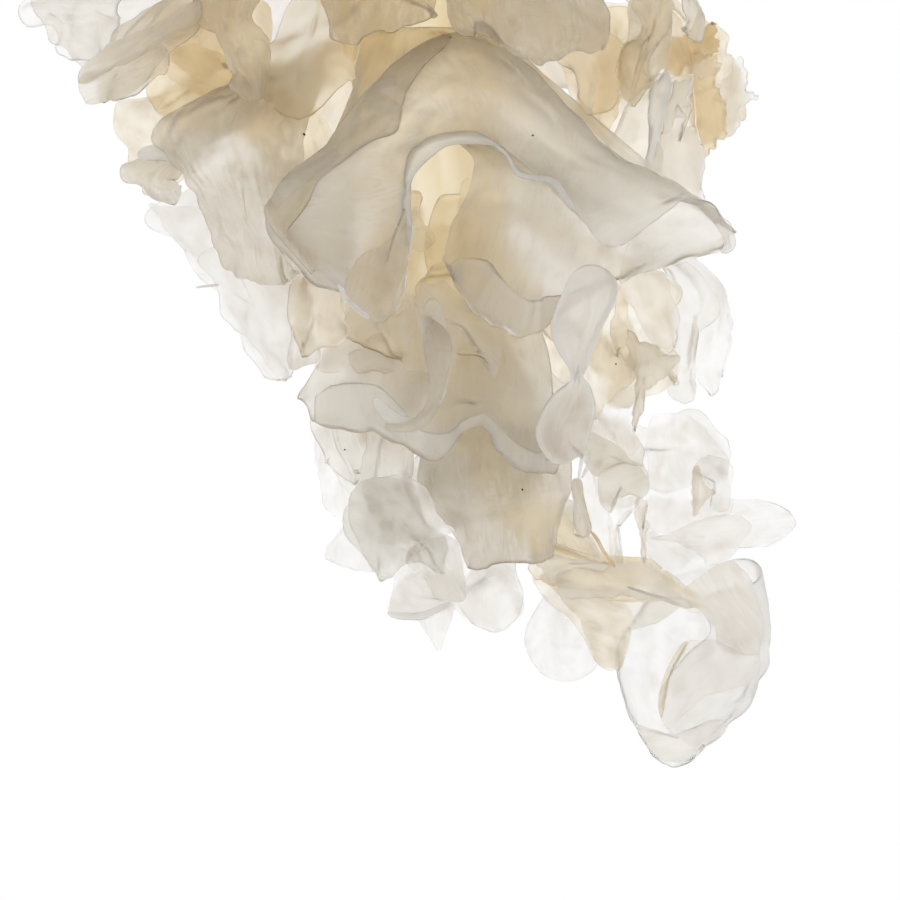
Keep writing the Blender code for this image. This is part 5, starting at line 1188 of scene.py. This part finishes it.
footSettings = dict(
    lumps=((4.0, 3, 0.5), (1.6, 5, 0.25)), inset=0.45,  # size in mm, seed and height of each; how far all is drawn in
    smoothUp=70, leastRough=0.25, flatUp=0.6,  # lumps fade with height; the cut below flatUp stays flat
    honeyUp=45,
)
bpy.ops.object.select_all(action="DESELECT")
foot = bpy.data.objects.new("foot_flesh_piece", frame["nodes"]["foot"].data.copy())
bpy.context.scene.collection.objects.link(foot)
bpy.context.view_layer.objects.active = foot
foot.select_set(True)
bpy.ops.object.mode_set(mode="EDIT")
bpy.ops.mesh.select_all(action="SELECT")
bpy.ops.mesh.remove_doubles(threshold=0.00001)
bpy.ops.mesh.tris_convert_to_quads()
bpy.ops.object.mode_set(mode="OBJECT")
finer = foot.modifiers.new("finer", "SUBSURF")
finer.subdivision_type = "SIMPLE"
finer.levels = finer.render_levels = 3
bpy.ops.object.modifier_apply(modifier="finer")
places = read(foot.data, "co")
normals = read(foot.data, "normal")
heights = places[:, 2] / mm
rough = sum(waves(places, size, seed) * height for size, seed, height in footSettings["lumps"])
rough = rough - footSettings["inset"]
low = np.clip(1 - heights / footSettings["smoothUp"], footSettings["leastRough"], 1)
keep = heights > footSettings["flatUp"]
write(foot.data, places + normals * (rough * low * keep)[:, None] * mm)
setValue(foot.data, "heart", np.clip(1 - heights / footSettings["honeyUp"], 0, 1))
setValue(foot.data, "haze", np.zeros(len(places)))
setValue(foot.data, "shade", np.zeros(len(places)))
bpy.ops.object.shade_smooth()
foot.data.materials.clear()
foot.data.materials.append(gels["foot_flesh"])
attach(foot, "root")
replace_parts(foot, "foot")
print("stage: foot")


# Floor, light and camera

studioSettings = dict(
    floorRadius=0.15, floorColour="#F8F7F4", floorRoughness=0.8,
    skyBehind=0.84, skyAhead=1.0,  # brightness behind the camera, and ahead of it where the gel is seen against it
    lens=120.0, sensor=36.0,
    bounces=24,  # light passes many sheets in a row
)
bpy.ops.object.select_all(action="DESELECT")
bpy.ops.mesh.primitive_circle_add(
    vertices=96, radius=studioSettings["floorRadius"], fill_type="NGON", location=(0, 0, -0.0002)
)
floor = bpy.context.object
floor.name = "floor"
# Painted studio board: an even, matt off white
board = plainMaterial("matt pale floor", studioSettings["floorColour"], studioSettings["floorRoughness"])
floor.data.materials.append(board)

studio = bpy.data.worlds.new("studio")
bpy.context.scene.world = studio
studio.use_nodes = True
studio.cycles.sampling_method = "NONE"  # an even sky needs no light samples of its own
sky = studio.node_tree
sky.nodes.clear()
lookUp = addNode(sky, "ShaderNodeTexCoord").outputs["Generated"]
split = addNode(sky, "ShaderNodeSeparateXYZ", {"Vector": lookUp})
glow = addNode(sky, "ShaderNodeMapRange", {
    "Value": split.outputs["Y"], "From Min": -1.0, "From Max": 0.9,
    "To Min": studioSettings["skyBehind"], "To Max": studioSettings["skyAhead"],
})
white = {"Color": (1.0, 1.0, 1.0, 1.0), "Strength": glow.outputs["Result"]}
back = addNode(sky, "ShaderNodeBackground", white)
addNode(sky, "ShaderNodeOutputWorld", {"Surface": back.outputs["Background"]})

cameraData = bpy.data.cameras.new("camera")
cameraData.lens = studioSettings["lens"]
cameraData.sensor_width = studioSettings["sensor"]
cameraData.clip_start = 0.01
camera = bpy.data.objects.new("camera", cameraData)
bpy.context.scene.collection.objects.link(camera)
spot = Vector((-viewSide, -viewDistance, viewUp)) * mm
turn = Vector((0, 1, 0)).to_track_quat("-Z", "Y").to_matrix().to_4x4()
camera.matrix_world = Matrix.Translation(spot) @ turn @ Matrix.Rotation(math.pi, 4, "Z")  # rolled half round
scene = bpy.context.scene
scene.camera = camera
scene.view_settings.view_transform = "Standard"
scene.cycles.max_bounces = studioSettings["bounces"]
scene.cycles.transmission_bounces = studioSettings["bounces"]
scene.cycles.transparent_max_bounces = studioSettings["bounces"]
